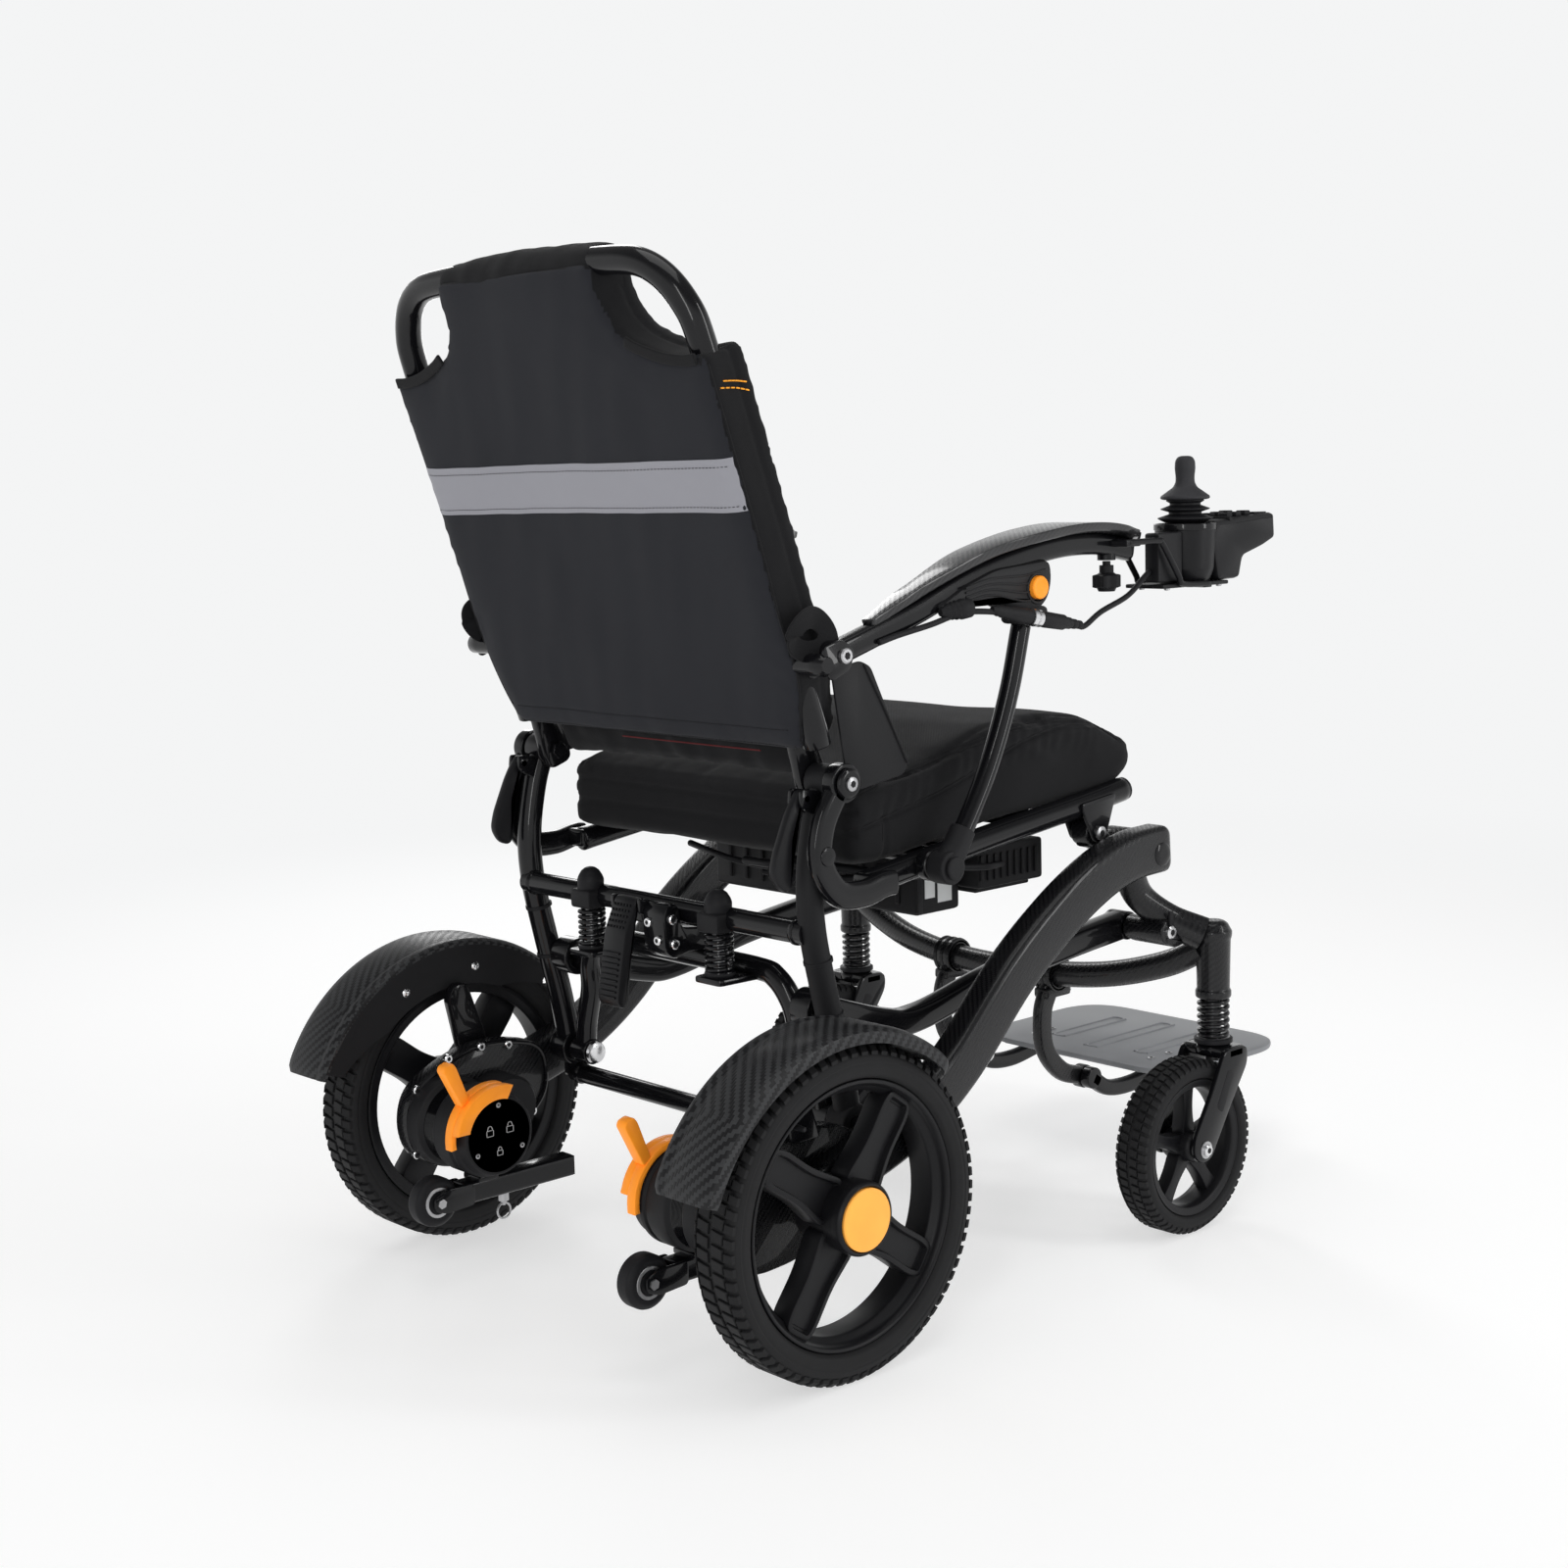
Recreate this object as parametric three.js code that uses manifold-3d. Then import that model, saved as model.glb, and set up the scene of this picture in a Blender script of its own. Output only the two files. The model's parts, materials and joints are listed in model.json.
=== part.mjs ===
// Folding power wheelchair, millimetres, +Z up, +X to the sitter's left, the chair faces -Y.
// Places are given from the point on the floor under the middle of the rear wheels' axle line.
import * as THREE from 'three';
import { mergeVertices } from 'three/addons/utils/BufferGeometryUtils.js';
import Module from 'manifold-3d';

const wasm = await Module();
wasm.setup();

// ---- driving dimensions ----
const rearWheelRadius = 150;
const rearTyreWidth = 50;
const casterRadius = 91;
const casterTyreWidth = 40;
const frameX = 212;            // uprights and seat rails, from the middle
const tubeR = 12.5;            // uprights, seat rails and backrest tube
const beamWidth = 34;
const beamHeight = 48;
const seatHalfWidth = 222;
const backHalfWidth = 235;
const backHeight = 366;        // backrest tube, hinge end to the start of its top bend
const armRise = 0;             // lifts the armrests over their strut feet
const footplateHalfWidth = 150;
const footplateDepth = 216;
const linkWidth = 26;
const hoopR = 11;
const motorR = 45;

// ---- clearances ----
const faceGap = 0.4;           // between faces that rest on each other
const pinGap = 0.5;            // between a pin and its bore, on the radius
const layerGap = 1.5;          // between plates that swing past each other
const wheelGap = 1;            // side beam to rear tyre
const openGap = 3.5;           // between the uprights' top pin and the backrest, on the radius

// ---- pivots of the fold, as [y, z] ----
const axle = [0, rearWheelRadius];
const foldPivot = [-485, 400];     // front frame on the side beams
const seatPivot = [-435, 424];     // seat frame on the front frame's necks
const backPivot = [-73, 515];      // backrest on the uprights, and the seat frame's open pivot
const rearPivot = [-92, 196];      // uprights and latch hoop on the side beams
const linkPivot = [-520, 312];     // lower links on the front frame
const linkEnd = [-78, 300];        // the lower links' open pivot on the latch hoop
const casterStem = [-569, 183];    // swivel line, at the height of the fork crown
const footHinge = [-584, 117];     // footplate on its hangers
const motorCentre = [60, 147];

// ---- places across the chair, from the middle ----
const beamX = frameX + tubeR + 26.5;
const beamInner = beamX - beamWidth / 2;
const wheelX = beamX + beamWidth / 2 + wheelGap + rearTyreWidth / 2;
const plateInner = beamInner - 7;
const linkX = frameX - tubeR - 3.5 - linkWidth / 2;
const hoopX = linkX - linkWidth / 2 - layerGap - hoopR - 0.5;
const hookInner = frameX + tubeR + layerGap;
const hookOuter = hookInner + 14;
const armX = frameX + 38;
const casterX = frameX + 55;
const hangerX = 75;
const crossBeamR = 14;

const colours = {
  carbon: [0x101113, 0.3, 0.1],
  gloss: [0x0c0c0d, 0.2, 0.4],
  plastic: [0x17181a, 0.6, 0],
  rubber: [0x1b1c1d, 0.85, 0],
  orange: [0xff8a1e, 0.5, 0],
  fabric: [0x18181a, 0.95, 0],
  alloy: [0x8d8f93, 0.4, 0.9],
  steel: [0xc9cbce, 0.25, 1],
};

// ---- solids ----

// A closed geometry as a solid whose faces point out.
function toSolid(geometry) {
  const bare = new THREE.BufferGeometry();
  bare.setAttribute('position', geometry.attributes.position);
  if (geometry.index) bare.setIndex(geometry.index);
  const merged = mergeVertices(bare, 1e-3);
  const at = merged.attributes.position.array;
  const triangles = [];
  let volume = 0;
  for (let i = 0; i < merged.index.count; i += 3) {
    const [a, b, c] = merged.index.array.slice(i, i + 3);
    if (a === b || b === c || c === a) continue;
    triangles.push(a, b, c);
    const [p, q, r] = [a, b, c].map((v) => new THREE.Vector3().fromArray(at, 3 * v));
    volume += p.dot(q.cross(r));
  }
  if (volume < 0) triangles.reverse();
  const mesh = { numProp: 3, vertProperties: Float32Array.from(at), triVerts: Uint32Array.from(triangles) };
  return new wasm.Manifold(new wasm.Mesh(mesh));
}

const join = (...pieces) => pieces.reduce((whole, piece) => whole.add(piece));
const cut = (piece, ...tools) => tools.reduce((rest, tool) => rest.subtract(tool), piece);

// A round bar between two points; radiusEnd makes it a cone.
function bar(from, to, radius, sides = 10, radiusEnd = radius) {
  const start = new THREE.Vector3(...from);
  const along = new THREE.Vector3(...to).sub(start);
  const geometry = new THREE.CylinderGeometry(radiusEnd, radius, along.length(), sides);
  geometry.translate(0, along.length() / 2, 0);
  const turn = new THREE.Quaternion().setFromUnitVectors(new THREE.Vector3(0, 1, 0), along.normalize());
  geometry.applyQuaternion(turn).translate(...from);
  return toSolid(geometry);
}

// A round bar across the chair, at a pivot.
const barX = ([y, z], x1, x2, radius, sides = 10) => bar([x1, y, z], [x2, y, z], radius, sides);

function block(x1, x2, y1, y2, z1, z2) {
  const geometry = new THREE.BoxGeometry(Math.abs(x2 - x1), Math.abs(y2 - y1), Math.abs(z2 - z1));
  return toSolid(geometry.translate((x1 + x2) / 2, (y1 + y2) / 2, (z1 + z2) / 2));
}

function roundSection(radius, sides = 8) {
  const points = [];
  for (let i = 0; i < sides; i += 1) {
    const turn = (2 * Math.PI * i) / sides;
    points.push(new THREE.Vector2(radius * Math.cos(turn), radius * Math.sin(turn)));
  }
  return new THREE.Shape(points);
}

// width lies across the chair on a path that stays in a side plane.
function boxSection(width, height, corner) {
  const points = [];
  const middles = [[1, 1, 0], [-1, 1, 90], [-1, -1, 180], [1, -1, 270]];
  for (const [sx, sy, start] of middles) {
    for (const step of [0, 90]) {
      const turn = THREE.MathUtils.degToRad(start + step);
      points.push(new THREE.Vector2(
        sx * (width / 2 - corner) + corner * Math.cos(turn),
        sy * (height / 2 - corner) + corner * Math.sin(turn),
      ));
    }
  }
  return new THREE.Shape(points);
}

function sweep(section, points, steps = 20, tension = 0.5) {
  const path = new THREE.CatmullRomCurve3(
    points.map((point) => new THREE.Vector3(...point)),
    false,
    'catmullrom',
    tension,
  );
  return toSolid(new THREE.ExtrudeGeometry(section, { steps, extrudePath: path, curveSegments: 6 }));
}

// An outline of [y, z] points, extruded across the chair.
function plateX(outline, x1, x2) {
  const points = outline.map(([y, z]) => new THREE.Vector2(y, z));
  const settings = { depth: Math.abs(x2 - x1), bevelEnabled: false };
  const geometry = new THREE.ExtrudeGeometry(new THREE.Shape(points), settings);
  const axes = [[0, 1, 0], [0, 0, 1], [1, 0, 0]].map((axis) => new THREE.Vector3(...axis));
  geometry.applyMatrix4(new THREE.Matrix4().makeBasis(...axes));
  return toSolid(geometry.translate(Math.min(x1, x2), 0, 0));
}

// A closed [x, radius] profile turned about a line across the chair; side mirrors it.
function turnX([y, z], profile, side, segments = 20) {
  const points = profile.map(([x, radius]) => new THREE.Vector2(radius, side * x));
  const geometry = new THREE.LatheGeometry(points, segments);
  return toSolid(geometry.rotateZ(-Math.PI / 2).translate(0, y, z));
}

// The same about an upright line.
function turnZ([x, y], profile, segments = 14) {
  const points = profile.map(([z, radius]) => new THREE.Vector2(radius, z));
  const geometry = new THREE.LatheGeometry(points, segments);
  return toSolid(geometry.rotateX(Math.PI / 2).translate(x, y, 0));
}

function helix([x, y], low, high, radius, wire, turns) {
  class Coil extends THREE.Curve {
    getPoint(t) {
      const turn = 2 * Math.PI * turns * t;
      const z = low + wire + (high - low - 2 * wire) * t;
      return new THREE.Vector3(x + radius * Math.cos(turn), y + radius * Math.sin(turn), z);
    }
  }
  const settings = { steps: Math.round(turns * 7), extrudePath: new Coil() };
  return toSolid(new THREE.ExtrudeGeometry(roundSection(wire, 4), settings));
}

// ---- the model ----
const chair = new THREE.Group();

function place(name, solid, finish) {
  const { numProp, vertProperties, triVerts } = solid.getMesh();
  const geometry = new THREE.BufferGeometry();
  geometry.setAttribute('position', new THREE.BufferAttribute(vertProperties, numProp));
  geometry.setIndex(new THREE.BufferAttribute(triVerts, 1));
  const [color, roughness, metalness] = colours[finish];
  const mesh = new THREE.Mesh(geometry, new THREE.MeshStandardMaterial({ color, roughness, metalness }));
  mesh.name = name;
  chair.add(mesh);
}

const sides = [['left', 1], ['right', -1]];
const onSide = (side, points) => points.map(([x, y, z]) => [side * x, y, z]);
const inPlane = (x, points) => points.map(([y, z]) => [x, y, z]);

// ---- chassis: side beams, motors, fenders, anti-tip arms ----
const beamPath = [
  [-494, 404], [-450, 401], [-400, 387], [-340, 356], [-273, 309],
  [-197, 238], [-130, 196], [-60, 172], [-20, 160],
];

function sideBeam(side) {
  const x = side * beamX;
  const beam = sweep(boxSection(beamWidth, beamHeight, 14), inPlane(x, beamPath), 10);
  const nose = turnX([beamPath[0][0], beamPath[0][1]], [
    [beamInner, 0], [beamInner, 16], [beamInner + 6, beamHeight / 2],
    [beamX + beamWidth / 2 - 6, beamHeight / 2], [beamX + beamWidth / 2, 16], [beamX + beamWidth / 2, 0],
  ], side, 16);
  const plate = plateX([
    [-75, 150], [-40, 118], [0, 96], [60, 92], [98, 112], [108, 147], [98, 182], [60, 203],
    [20, 216], [-25, 214], [-70, 202],
  ], side * plateInner, side * (plateInner + 20));
  const foldPin = barX(foldPivot, side * (frameX - tubeR - 7), side * beamX, 8);
  const foldHead = barX(foldPivot, side * (frameX - tubeR - 11), side * (frameX - tubeR - 7 + 0.1), 13);
  const rearPin = barX(rearPivot, side * (linkX - 15), side * beamX, 8);
  const rearHead = barX(rearPivot, side * (linkX - 19), side * (linkX - 14.9));
  const axleHole = barX(axle, side * (plateInner - 2), side * (beamX + beamWidth), 12.5);
  return cut(join(beam, nose, plate, foldPin, foldHead, rearPin, rearHead), axleHole);
}

function motor(side) {
  const face = plateInner - faceGap;
  const body = turnX(motorCentre, [
    [face, 0], [face, motorR + 1], [face - 22, motorR + 1], [face - 26, motorR - 5],
    [face - 42, motorR - 5], [face - 46, motorR], [plateInner - 82, motorR],
    [plateInner - 86, motorR - 3], [plateInner - 97, motorR - 6], [plateInner - 97, 0],
  ], side, 20);
  const gearCase = barX(axle, side * (face - 34), side * face, 34);
  const shaft = barX(axle, side * (face - 30), side * (wheelX + 18));
  return join(body, gearCase, shaft);
}

const fenderRadius = (turn) => rearWheelRadius + 14 + 26 * (1 - turn) ** 1.5;

function fender(side) {
  const inner = wheelX - rearTyreWidth / 2 - 11;
  const outer = wheelX + rearTyreWidth / 2 + 12;
  const middle = (inner + outer) / 2;
  const half = (outer - inner) / 2;
  const section = new THREE.Shape([
    [-half, -48], [-half + 3, -48], [-half + 3, -7], [-half + 8, -4], [half - 8, -4], [half - 3, -14],
    [half, -14], [half, -5], [half - 6, 0], [-half + 6, 0], [-half, -5],
  ].map(([across, up]) => new THREE.Vector2(across, up)));
  const points = [];
  for (let i = 0; i <= 12; i += 1) {
    const share = i / 12;
    const turn = THREE.MathUtils.degToRad(16 + 117 * share);
    const radius = fenderRadius(share);
    points.push([side * middle, axle[0] + radius * Math.cos(turn), axle[1] + radius * Math.sin(turn)]);
  }
  const shell = sweep(flipAcross(section, side, points), points, 10);
  const armOut = plateInner + 20 + faceGap;
  const bracket = plateX([[-14, 205], [22, 205], [34, 268], [10, 280]], side * armOut, side * (inner + 1.5));
  return join(shell, bracket);
}

// The section of a swept path turns with the path's frame, so its inner edge is set by the side.
function flipAcross(section, side, points) {
  const path = new THREE.CatmullRomCurve3(points.map((point) => new THREE.Vector3(...point)));
  const frames = path.computeFrenetFrames(2, false);
  const across = Math.sign(frames.normals[0].x) * side;
  const outward = new THREE.Vector3(0, points[0][1] - axle[0], points[0][2] - axle[1]);
  const up = Math.sign(frames.binormals[0].dot(outward));
  return new THREE.Shape(section.getPoints().map((p) => new THREE.Vector2(across * p.x, up * p.y)));
}

const antiTipX = plateInner - 62;
const antiTipAxle = [118, 86];

function antiTipArm(side) {
  const top = motorCentre[1] - motorR - faceGap;
  const arm = cut(
    block(side * (antiTipX - 11), side * (antiTipX + 11), -48, 92, 76, 98),
    block(side * (antiTipX - 8), side * (antiTipX + 8), -60, 60, 79, 95),
  );
  const saddle = block(side * (antiTipX - 14), side * (antiTipX + 14), 50, 70, 97, top);
  const yoke = block(side * (antiTipX - 15), side * (antiTipX + 15), 78, 92, 76, 98);
  const cheekOutline = [[80, 98], [80, 76], [112, 74], [126, 80], [126, 92], [112, 98]];
  const cheek = (x) => plateX(cheekOutline, side * x, side * (x + 3));
  const pin = barX(antiTipAxle, side * (antiTipX - 13), side * (antiTipX + 13), 4);
  return join(arm, saddle, yoke, cheek(antiTipX - 15), cheek(antiTipX + 12), pin);
}

function antiTipWheel(side) {
  return turnX(antiTipAxle, [
    [antiTipX - 11, 4 + pinGap], [antiTipX - 11, 20], [antiTipX - 7, 25],
    [antiTipX + 7, 25], [antiTipX + 11, 20], [antiTipX + 11, 4 + pinGap], [antiTipX - 11, 4 + pinGap],
  ], side, 20);
}

function clutchLever(side) {
  const low = plateInner - 90;
  const points = [];
  for (let i = 0; i <= 10; i += 1) {
    const turn = THREE.MathUtils.degToRad(-8 + 11 * i);
    points.push([motorCentre[0] + 52 * Math.cos(turn), motorCentre[1] + 52 * Math.sin(turn)]);
  }
  for (let i = 10; i >= 0; i -= 1) {
    const turn = THREE.MathUtils.degToRad(-8 + 11 * i);
    const inside = motorR + 1.2;
    points.push([motorCentre[0] + inside * Math.cos(turn), motorCentre[1] + inside * Math.sin(turn)]);
  }
  const collar = plateX(points, side * low, side * (low + 12));
  const finger = plateX([[88, 188], [97, 181], [118, 222], [106, 229]], side * (low - 3), side * (low + 11));
  return join(collar, finger);
}

// ---- rear wheels ----
const rimR = rearWheelRadius - 30;
const rearSides = 28;          // facets round the rear wheel

function rearTyre(side) {
  const half = rearTyreWidth / 2;
  return turnX(axle, [
    [wheelX - half + 6, rimR + faceGap], [wheelX - half, rimR + 10],
    [wheelX - half + 3, rearWheelRadius - 9], [wheelX - half + 12, rearWheelRadius],
    [wheelX + half - 12, rearWheelRadius], [wheelX + half - 3, rearWheelRadius - 9],
    [wheelX + half, rimR + 10], [wheelX + half - 6, rimR + faceGap], [wheelX - half + 6, rimR + faceGap],
  ], side, rearSides);
}

function spokes(centre, count, inner, outer, halfWidth, x1, x2, start) {
  const made = [];
  for (let i = 0; i < count; i += 1) {
    const turn = start + (2 * Math.PI * i) / count;
    const point = (along, across) => [
      centre[0] + along * Math.cos(turn) - across * Math.sin(turn),
      centre[1] + along * Math.sin(turn) + across * Math.cos(turn),
    ];
    const tip = halfWidth * 0.75;
    const outline = [point(inner, -halfWidth), point(outer, -tip), point(outer, tip), point(inner, halfWidth)];
    made.push(plateX(outline, x1, x2));
  }
  return made;
}

function rearRim(side) {
  const ring = turnX(axle, [
    [wheelX - 19, rimR - 12], [wheelX - 19, rimR], [wheelX + 19, rimR], [wheelX + 19, rimR - 5],
    [wheelX + 6, rimR - 12], [wheelX - 19, rimR - 12],
  ], side, rearSides);
  const hub = turnX(axle, [
    [wheelX - 26, 10 + pinGap], [wheelX - 26, 30], [wheelX + 26, 32],
    [wheelX + 34, 31], [wheelX + 37, 26], [wheelX + 37, 0],
    [wheelX + 20, 0], [wheelX + 20, 10 + pinGap], [wheelX - 26, 10 + pinGap],
  ], side, 12);
  const arms = spokes(axle, 4, 20, rimR - 8, 22, side * (wheelX - 8), side * (wheelX + 14), 0.2);
  const bore = barX(axle, side * (wheelX - 40), side * (wheelX + 20), 10 + pinGap);
  return join(ring, hub, ...arms.map((arm) => cut(arm, bore)));
}

// ---- front frame: necks, fold bosses, head tubes and cross-beam in one carbon piece ----
const headBottom = 238;
const headTop = 320;
const stemR = 8;
const crossBeamPath = [
  [casterX - 8, -562, 290], [215, -556, 268], [150, -545, 250], [75, -537, 241], [0, -535, 239],
  [-75, -537, 241], [-150, -545, 250], [-215, -556, 268], [-casterX + 8, -562, 290],
];
const crossBeam = (radius) => sweep(roundSection(radius), crossBeamPath, 12);

function frontFrame() {
  let frame = crossBeam(crossBeamR);
  for (const [, side] of sides) {
    const boss = (pivot, x1, x2, radius) => barX(pivot, side * x1, side * x2, radius);
    const neck = sweep(boxSection(20, 24, 8), onSide(side, [
      [frameX, ...seatPivot], [frameX, -462, 407], [frameX, ...foldPivot],
    ]), 4);
    const leg = sweep(roundSection(15.5), onSide(side, [
      [frameX, ...foldPivot], [frameX + 1, -499, 372], [frameX + 5, -512, 346], [frameX + 24, -535, 322],
      [casterX - 6, -558, 306],
    ]), 8);
    const head = turnZ([side * casterX, casterStem[0]], [
      [headBottom, 0], [headBottom, 17], [headTop - 14, 18], [headTop - 5, 15], [headTop, 8], [headTop, 0],
    ]);
    const stemAt = [side * casterX, casterStem[0]];
    const stemBore = bar([...stemAt, headBottom - 1], [...stemAt, 309], stemR + pinGap);
    const lug = boss(linkPivot, linkX + linkWidth / 2 + 1, casterX - 18, 13);
    const web = block(side * (linkX + linkWidth / 2 + 1), side * (casterX - 16), -548, -514, 296, 314);
    const linkPin = boss(linkPivot, linkX - linkWidth / 2 - 2, frameX, 6);
    const linkHead = boss(linkPivot, linkX - linkWidth / 2 - 6, linkX - linkWidth / 2 - 1.9, 11);
    const foldBoss = boss(foldPivot, frameX - tubeR - 1, frameX + tubeR + 4, 23);
    const seatBoss = boss(seatPivot, frameX - 11, frameX + 11, 14);
    const foldBore = boss(foldPivot, frameX - 40, frameX + 40, 8 + pinGap);
    const seatBore = boss(seatPivot, frameX - 40, frameX + 40, 6 + pinGap);
    frame = join(frame, neck, leg, head, lug, web, linkPin, linkHead, foldBoss, seatBoss);
    frame = cut(frame, stemBore, foldBore, seatBore);
  }
  return frame;
}

// ---- casters ----
const springLow = 197;
const crownTop = 190;
const casterAxle = [-518, casterRadius];

const casterSpring = (side) => helix(
  [side * casterX, casterStem[0]],
  springLow,
  headBottom - faceGap,
  14.5,
  2.6,
  4.5,
);

const casterStemPiece = (side) => turnZ([side * casterX, casterStem[0]], [
  [172, 0], [172, stemR], [crownTop + faceGap, stemR], [crownTop + faceGap, 17], [springLow - faceGap, 17],
  [springLow - faceGap, stemR], [294, stemR], [294, 0],
]);

function casterFork(side) {
  const x = side * casterX;
  const half = casterTyreWidth / 2;
  const crown = bar([x, casterStem[0], 178], [x, casterStem[0], crownTop], 19, 16);
  const yoke = block(x - half - 9, x + half + 9, -586, -556, 178, crownTop);
  const legAt = (offset) => cut(
    plateX([
      [-588, 190], [-552, 190], [-500, 96], [-506, 80], [-522, 76], [-538, 88], [-589, 178],
    ], x + offset, x + offset + 6),
    plateX([[-566, 166], [-556, 168], [-535, 130], [-545, 124]], x + offset - 1, x + offset + 7),
  );
  const pin = barX(casterAxle, x - half - 11, x + half + 11, 5);
  const bore = bar([x, casterStem[0], 160], [x, casterStem[0], 200], stemR + pinGap);
  return cut(join(crown, yoke, legAt(half + 3), legAt(-half - 9), pin), bore);
}

const casterRimR = casterRadius - 20;
const casterSides = 20;        // facets round the caster

function casterTyre(side) {
  const half = casterTyreWidth / 2;
  return turnX(casterAxle, [
    [casterX - half + 4, casterRimR + faceGap], [casterX - half, casterRimR + 8],
    [casterX - half + 3, casterRadius - 6], [casterX - 8, casterRadius],
    [casterX + 8, casterRadius], [casterX + half - 3, casterRadius - 6],
    [casterX + half, casterRimR + 8], [casterX + half - 4, casterRimR + faceGap],
    [casterX - half + 4, casterRimR + faceGap],
  ], side, casterSides);
}

function casterRim(side) {
  const ring = turnX(casterAxle, [
    [casterX - 14, casterRimR - 9], [casterX - 14, casterRimR], [casterX + 14, casterRimR],
    [casterX + 14, casterRimR - 9], [casterX - 14, casterRimR - 9],
  ], side, casterSides);
  const hub = barX(casterAxle, side * (casterX - 19), side * (casterX + 19));
  const arms = spokes(casterAxle, 5, 8, casterRimR - 6, 9, side * (casterX - 8), side * (casterX + 8), 0.3);
  const bore = barX(casterAxle, side * (casterX - 30), side * (casterX + 30), 5 + pinGap);
  return cut(join(ring, hub, ...arms), bore);
}

// ---- footrest ----
function footrestHanger(side) {
  const curve = sweep(boxSection(12, 24, 4), inPlane(side * hangerX, [
    [-530, 226], [-519, 200], [-522, 160], [-548, 130], footHinge,
  ]), 7);
  const clamp = block(side * (hangerX - 11), side * (hangerX + 11), -557, -513, 218, 261);
  const eye = barX(footHinge, side * (hangerX - 6), side * (hangerX + 6), 13);
  const bore = barX(footHinge, side * (hangerX - 20), side * (hangerX + 20), 4 + pinGap);
  return cut(join(curve, clamp, eye), crossBeam(crossBeamR + faceGap), bore);
}

function footplate() {
  const half = footplateHalfWidth;
  const back = -652;
  const front = back - footplateDepth;
  const corner = 62;
  const outline = new THREE.Shape();
  outline.moveTo(-half + corner, back);
  outline.lineTo(half - corner, back);
  outline.quadraticCurveTo(half, back, half, back - corner);
  outline.lineTo(half, front + corner);
  outline.quadraticCurveTo(half, front, half - corner, front);
  outline.lineTo(-half + corner, front);
  outline.quadraticCurveTo(-half, front, -half, front + corner);
  outline.lineTo(-half, back - corner);
  outline.quadraticCurveTo(-half, back, -half + corner, back);
  const geometry = new THREE.ExtrudeGeometry(outline, { depth: 6, bevelEnabled: false, curveSegments: 5 });
  let plate = toSolid(geometry.translate(0, 0, 112));
  for (const [, side] of sides) {
    const x = side * (hangerX + 13);
    const arm = sweep(boxSection(12, 18, 4), inPlane(x, [
      footHinge, [-610, 101], [-650, 97], [-700, 104], [-730, 109],
    ]), 8);
    const eye = barX(footHinge, x - 6, x + 6, 12);
    const pin = barX(footHinge, side * (hangerX - 8), x, 4);
    const head = barX(footHinge, side * (hangerX - 12), side * (hangerX - 7.9), 8);
    plate = join(plate, arm, eye, pin, head);
  }
  return plate;
}

// ---- lower links and latch hoop ----
const openEye = 12;            // bore of the open pivots

function lowerLink(side) {
  const x = side * linkX;
  const link = sweep(boxSection(linkWidth, 28, 7), inPlane(x, [
    linkPivot, [-440, 304], [-320, 289], [-215, 268], [-165, 272], linkEnd,
  ]), 9);
  const half = linkWidth / 2;
  const front = barX(linkPivot, x - half, x + half, 15);
  const rear = barX(linkEnd, x - half, x + half, openEye + 7);
  const frontBore = barX(linkPivot, x - half - 1, x + half + 1, 6 + pinGap);
  const rearBore = barX(linkEnd, x - half - 1, x + half + 1, openEye);
  return cut(join(link, front, rear), frontBore, rearBore);
}

const hoopTop = [-76, 328];
const earX = 97;
const earY = -40;
const springTop = 366.6;

function latchHoop() {
  const leg = (side) => onSide(side, [
    [linkX + 1, ...rearPivot], [linkX - 5, -90, 226], [hoopX + 3, -84, 268],
    [hoopX - 3, -79, 300], [hoopX - 20, -76, 322],
  ]);
  const rising = leg(1);
  const falling = leg(-1).reverse();
  const top = [[hoopX - 48, ...hoopTop], [0, ...hoopTop], [-hoopX + 48, ...hoopTop]];
  let hoop = sweep(roundSection(hoopR), [...rising, ...top, ...falling], 26);
  for (const [, side] of sides) {
    const boss = barX(rearPivot, side * (linkX - linkWidth / 2), side * (linkX + linkWidth / 2), 13.5);
    const pin = barX(linkEnd, side * hoopX, side * (linkX + linkWidth / 2 + 1), 4);
    const ear = block(side * (earX - 21), side * (earX + 21), hoopTop[0] - 2, earY + 17, 319, 325);
    const guide = bar([side * earX, earY, 320], [side * earX, earY, springTop], 6);
    const bore = barX(rearPivot, side * (linkX - 40), side * (linkX + 40), 8 + pinGap);
    hoop = cut(join(hoop, boss, pin, ear, guide), bore);
  }
  return hoop;
}

const pedalX = 2;
const pedalPivot = [-14, 386];

function latchBlock() {
  const plate = plateX([
    [hoopTop[0] + 2, 341], [-40, 341], [-24, 336], [-12, 345], [-10, 380],
    [-18, 392], [-30, 388], [-33, 366], [-62, 362],
  ], pedalX - 54, pedalX - 22);
  const postFoot = hoopTop[1] + hoopR + faceGap;
  const post = block(pedalX - 54, pedalX - 22, hoopTop[0] - 4, hoopTop[0] + 14, postFoot, 363);
  const arm = block(pedalX - 24, pedalX + 22, -33, -24, 366, 388);
  const lug = (x) => plateX([[-32, 376], [-8, 378], [-8, 394], [-32, 388]], x, x + 4);
  const pin = barX(pedalPivot, pedalX - 21, pedalX + 21, 3);
  return join(plate, post, arm, lug(pedalX - 22), lug(pedalX + 18), pin);
}

function foldPedal() {
  const barrel = barX(pedalPivot, pedalX - 16, pedalX + 16, 7);
  const plate = plateX([
    [-14, 393], [-8, 390], [6, 362], [18, 296], [12, 288], [4, 292], [-4, 352], [-12, 380],
  ], pedalX - 16, pedalX + 16);
  const bore = barX(pedalPivot, pedalX - 20, pedalX + 20, 3 + pinGap);
  return cut(join(barrel, plate), bore);
}

// ---- rear frame: uprights with the two cross tubes ----
const uprightPath = [
  rearPivot, [-88, 225], [-80, 265], [-66, 320], [-53, 380], [-51, 430], [-60, 480], backPivot,
];
const upperTube = [-47, 379];

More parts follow.
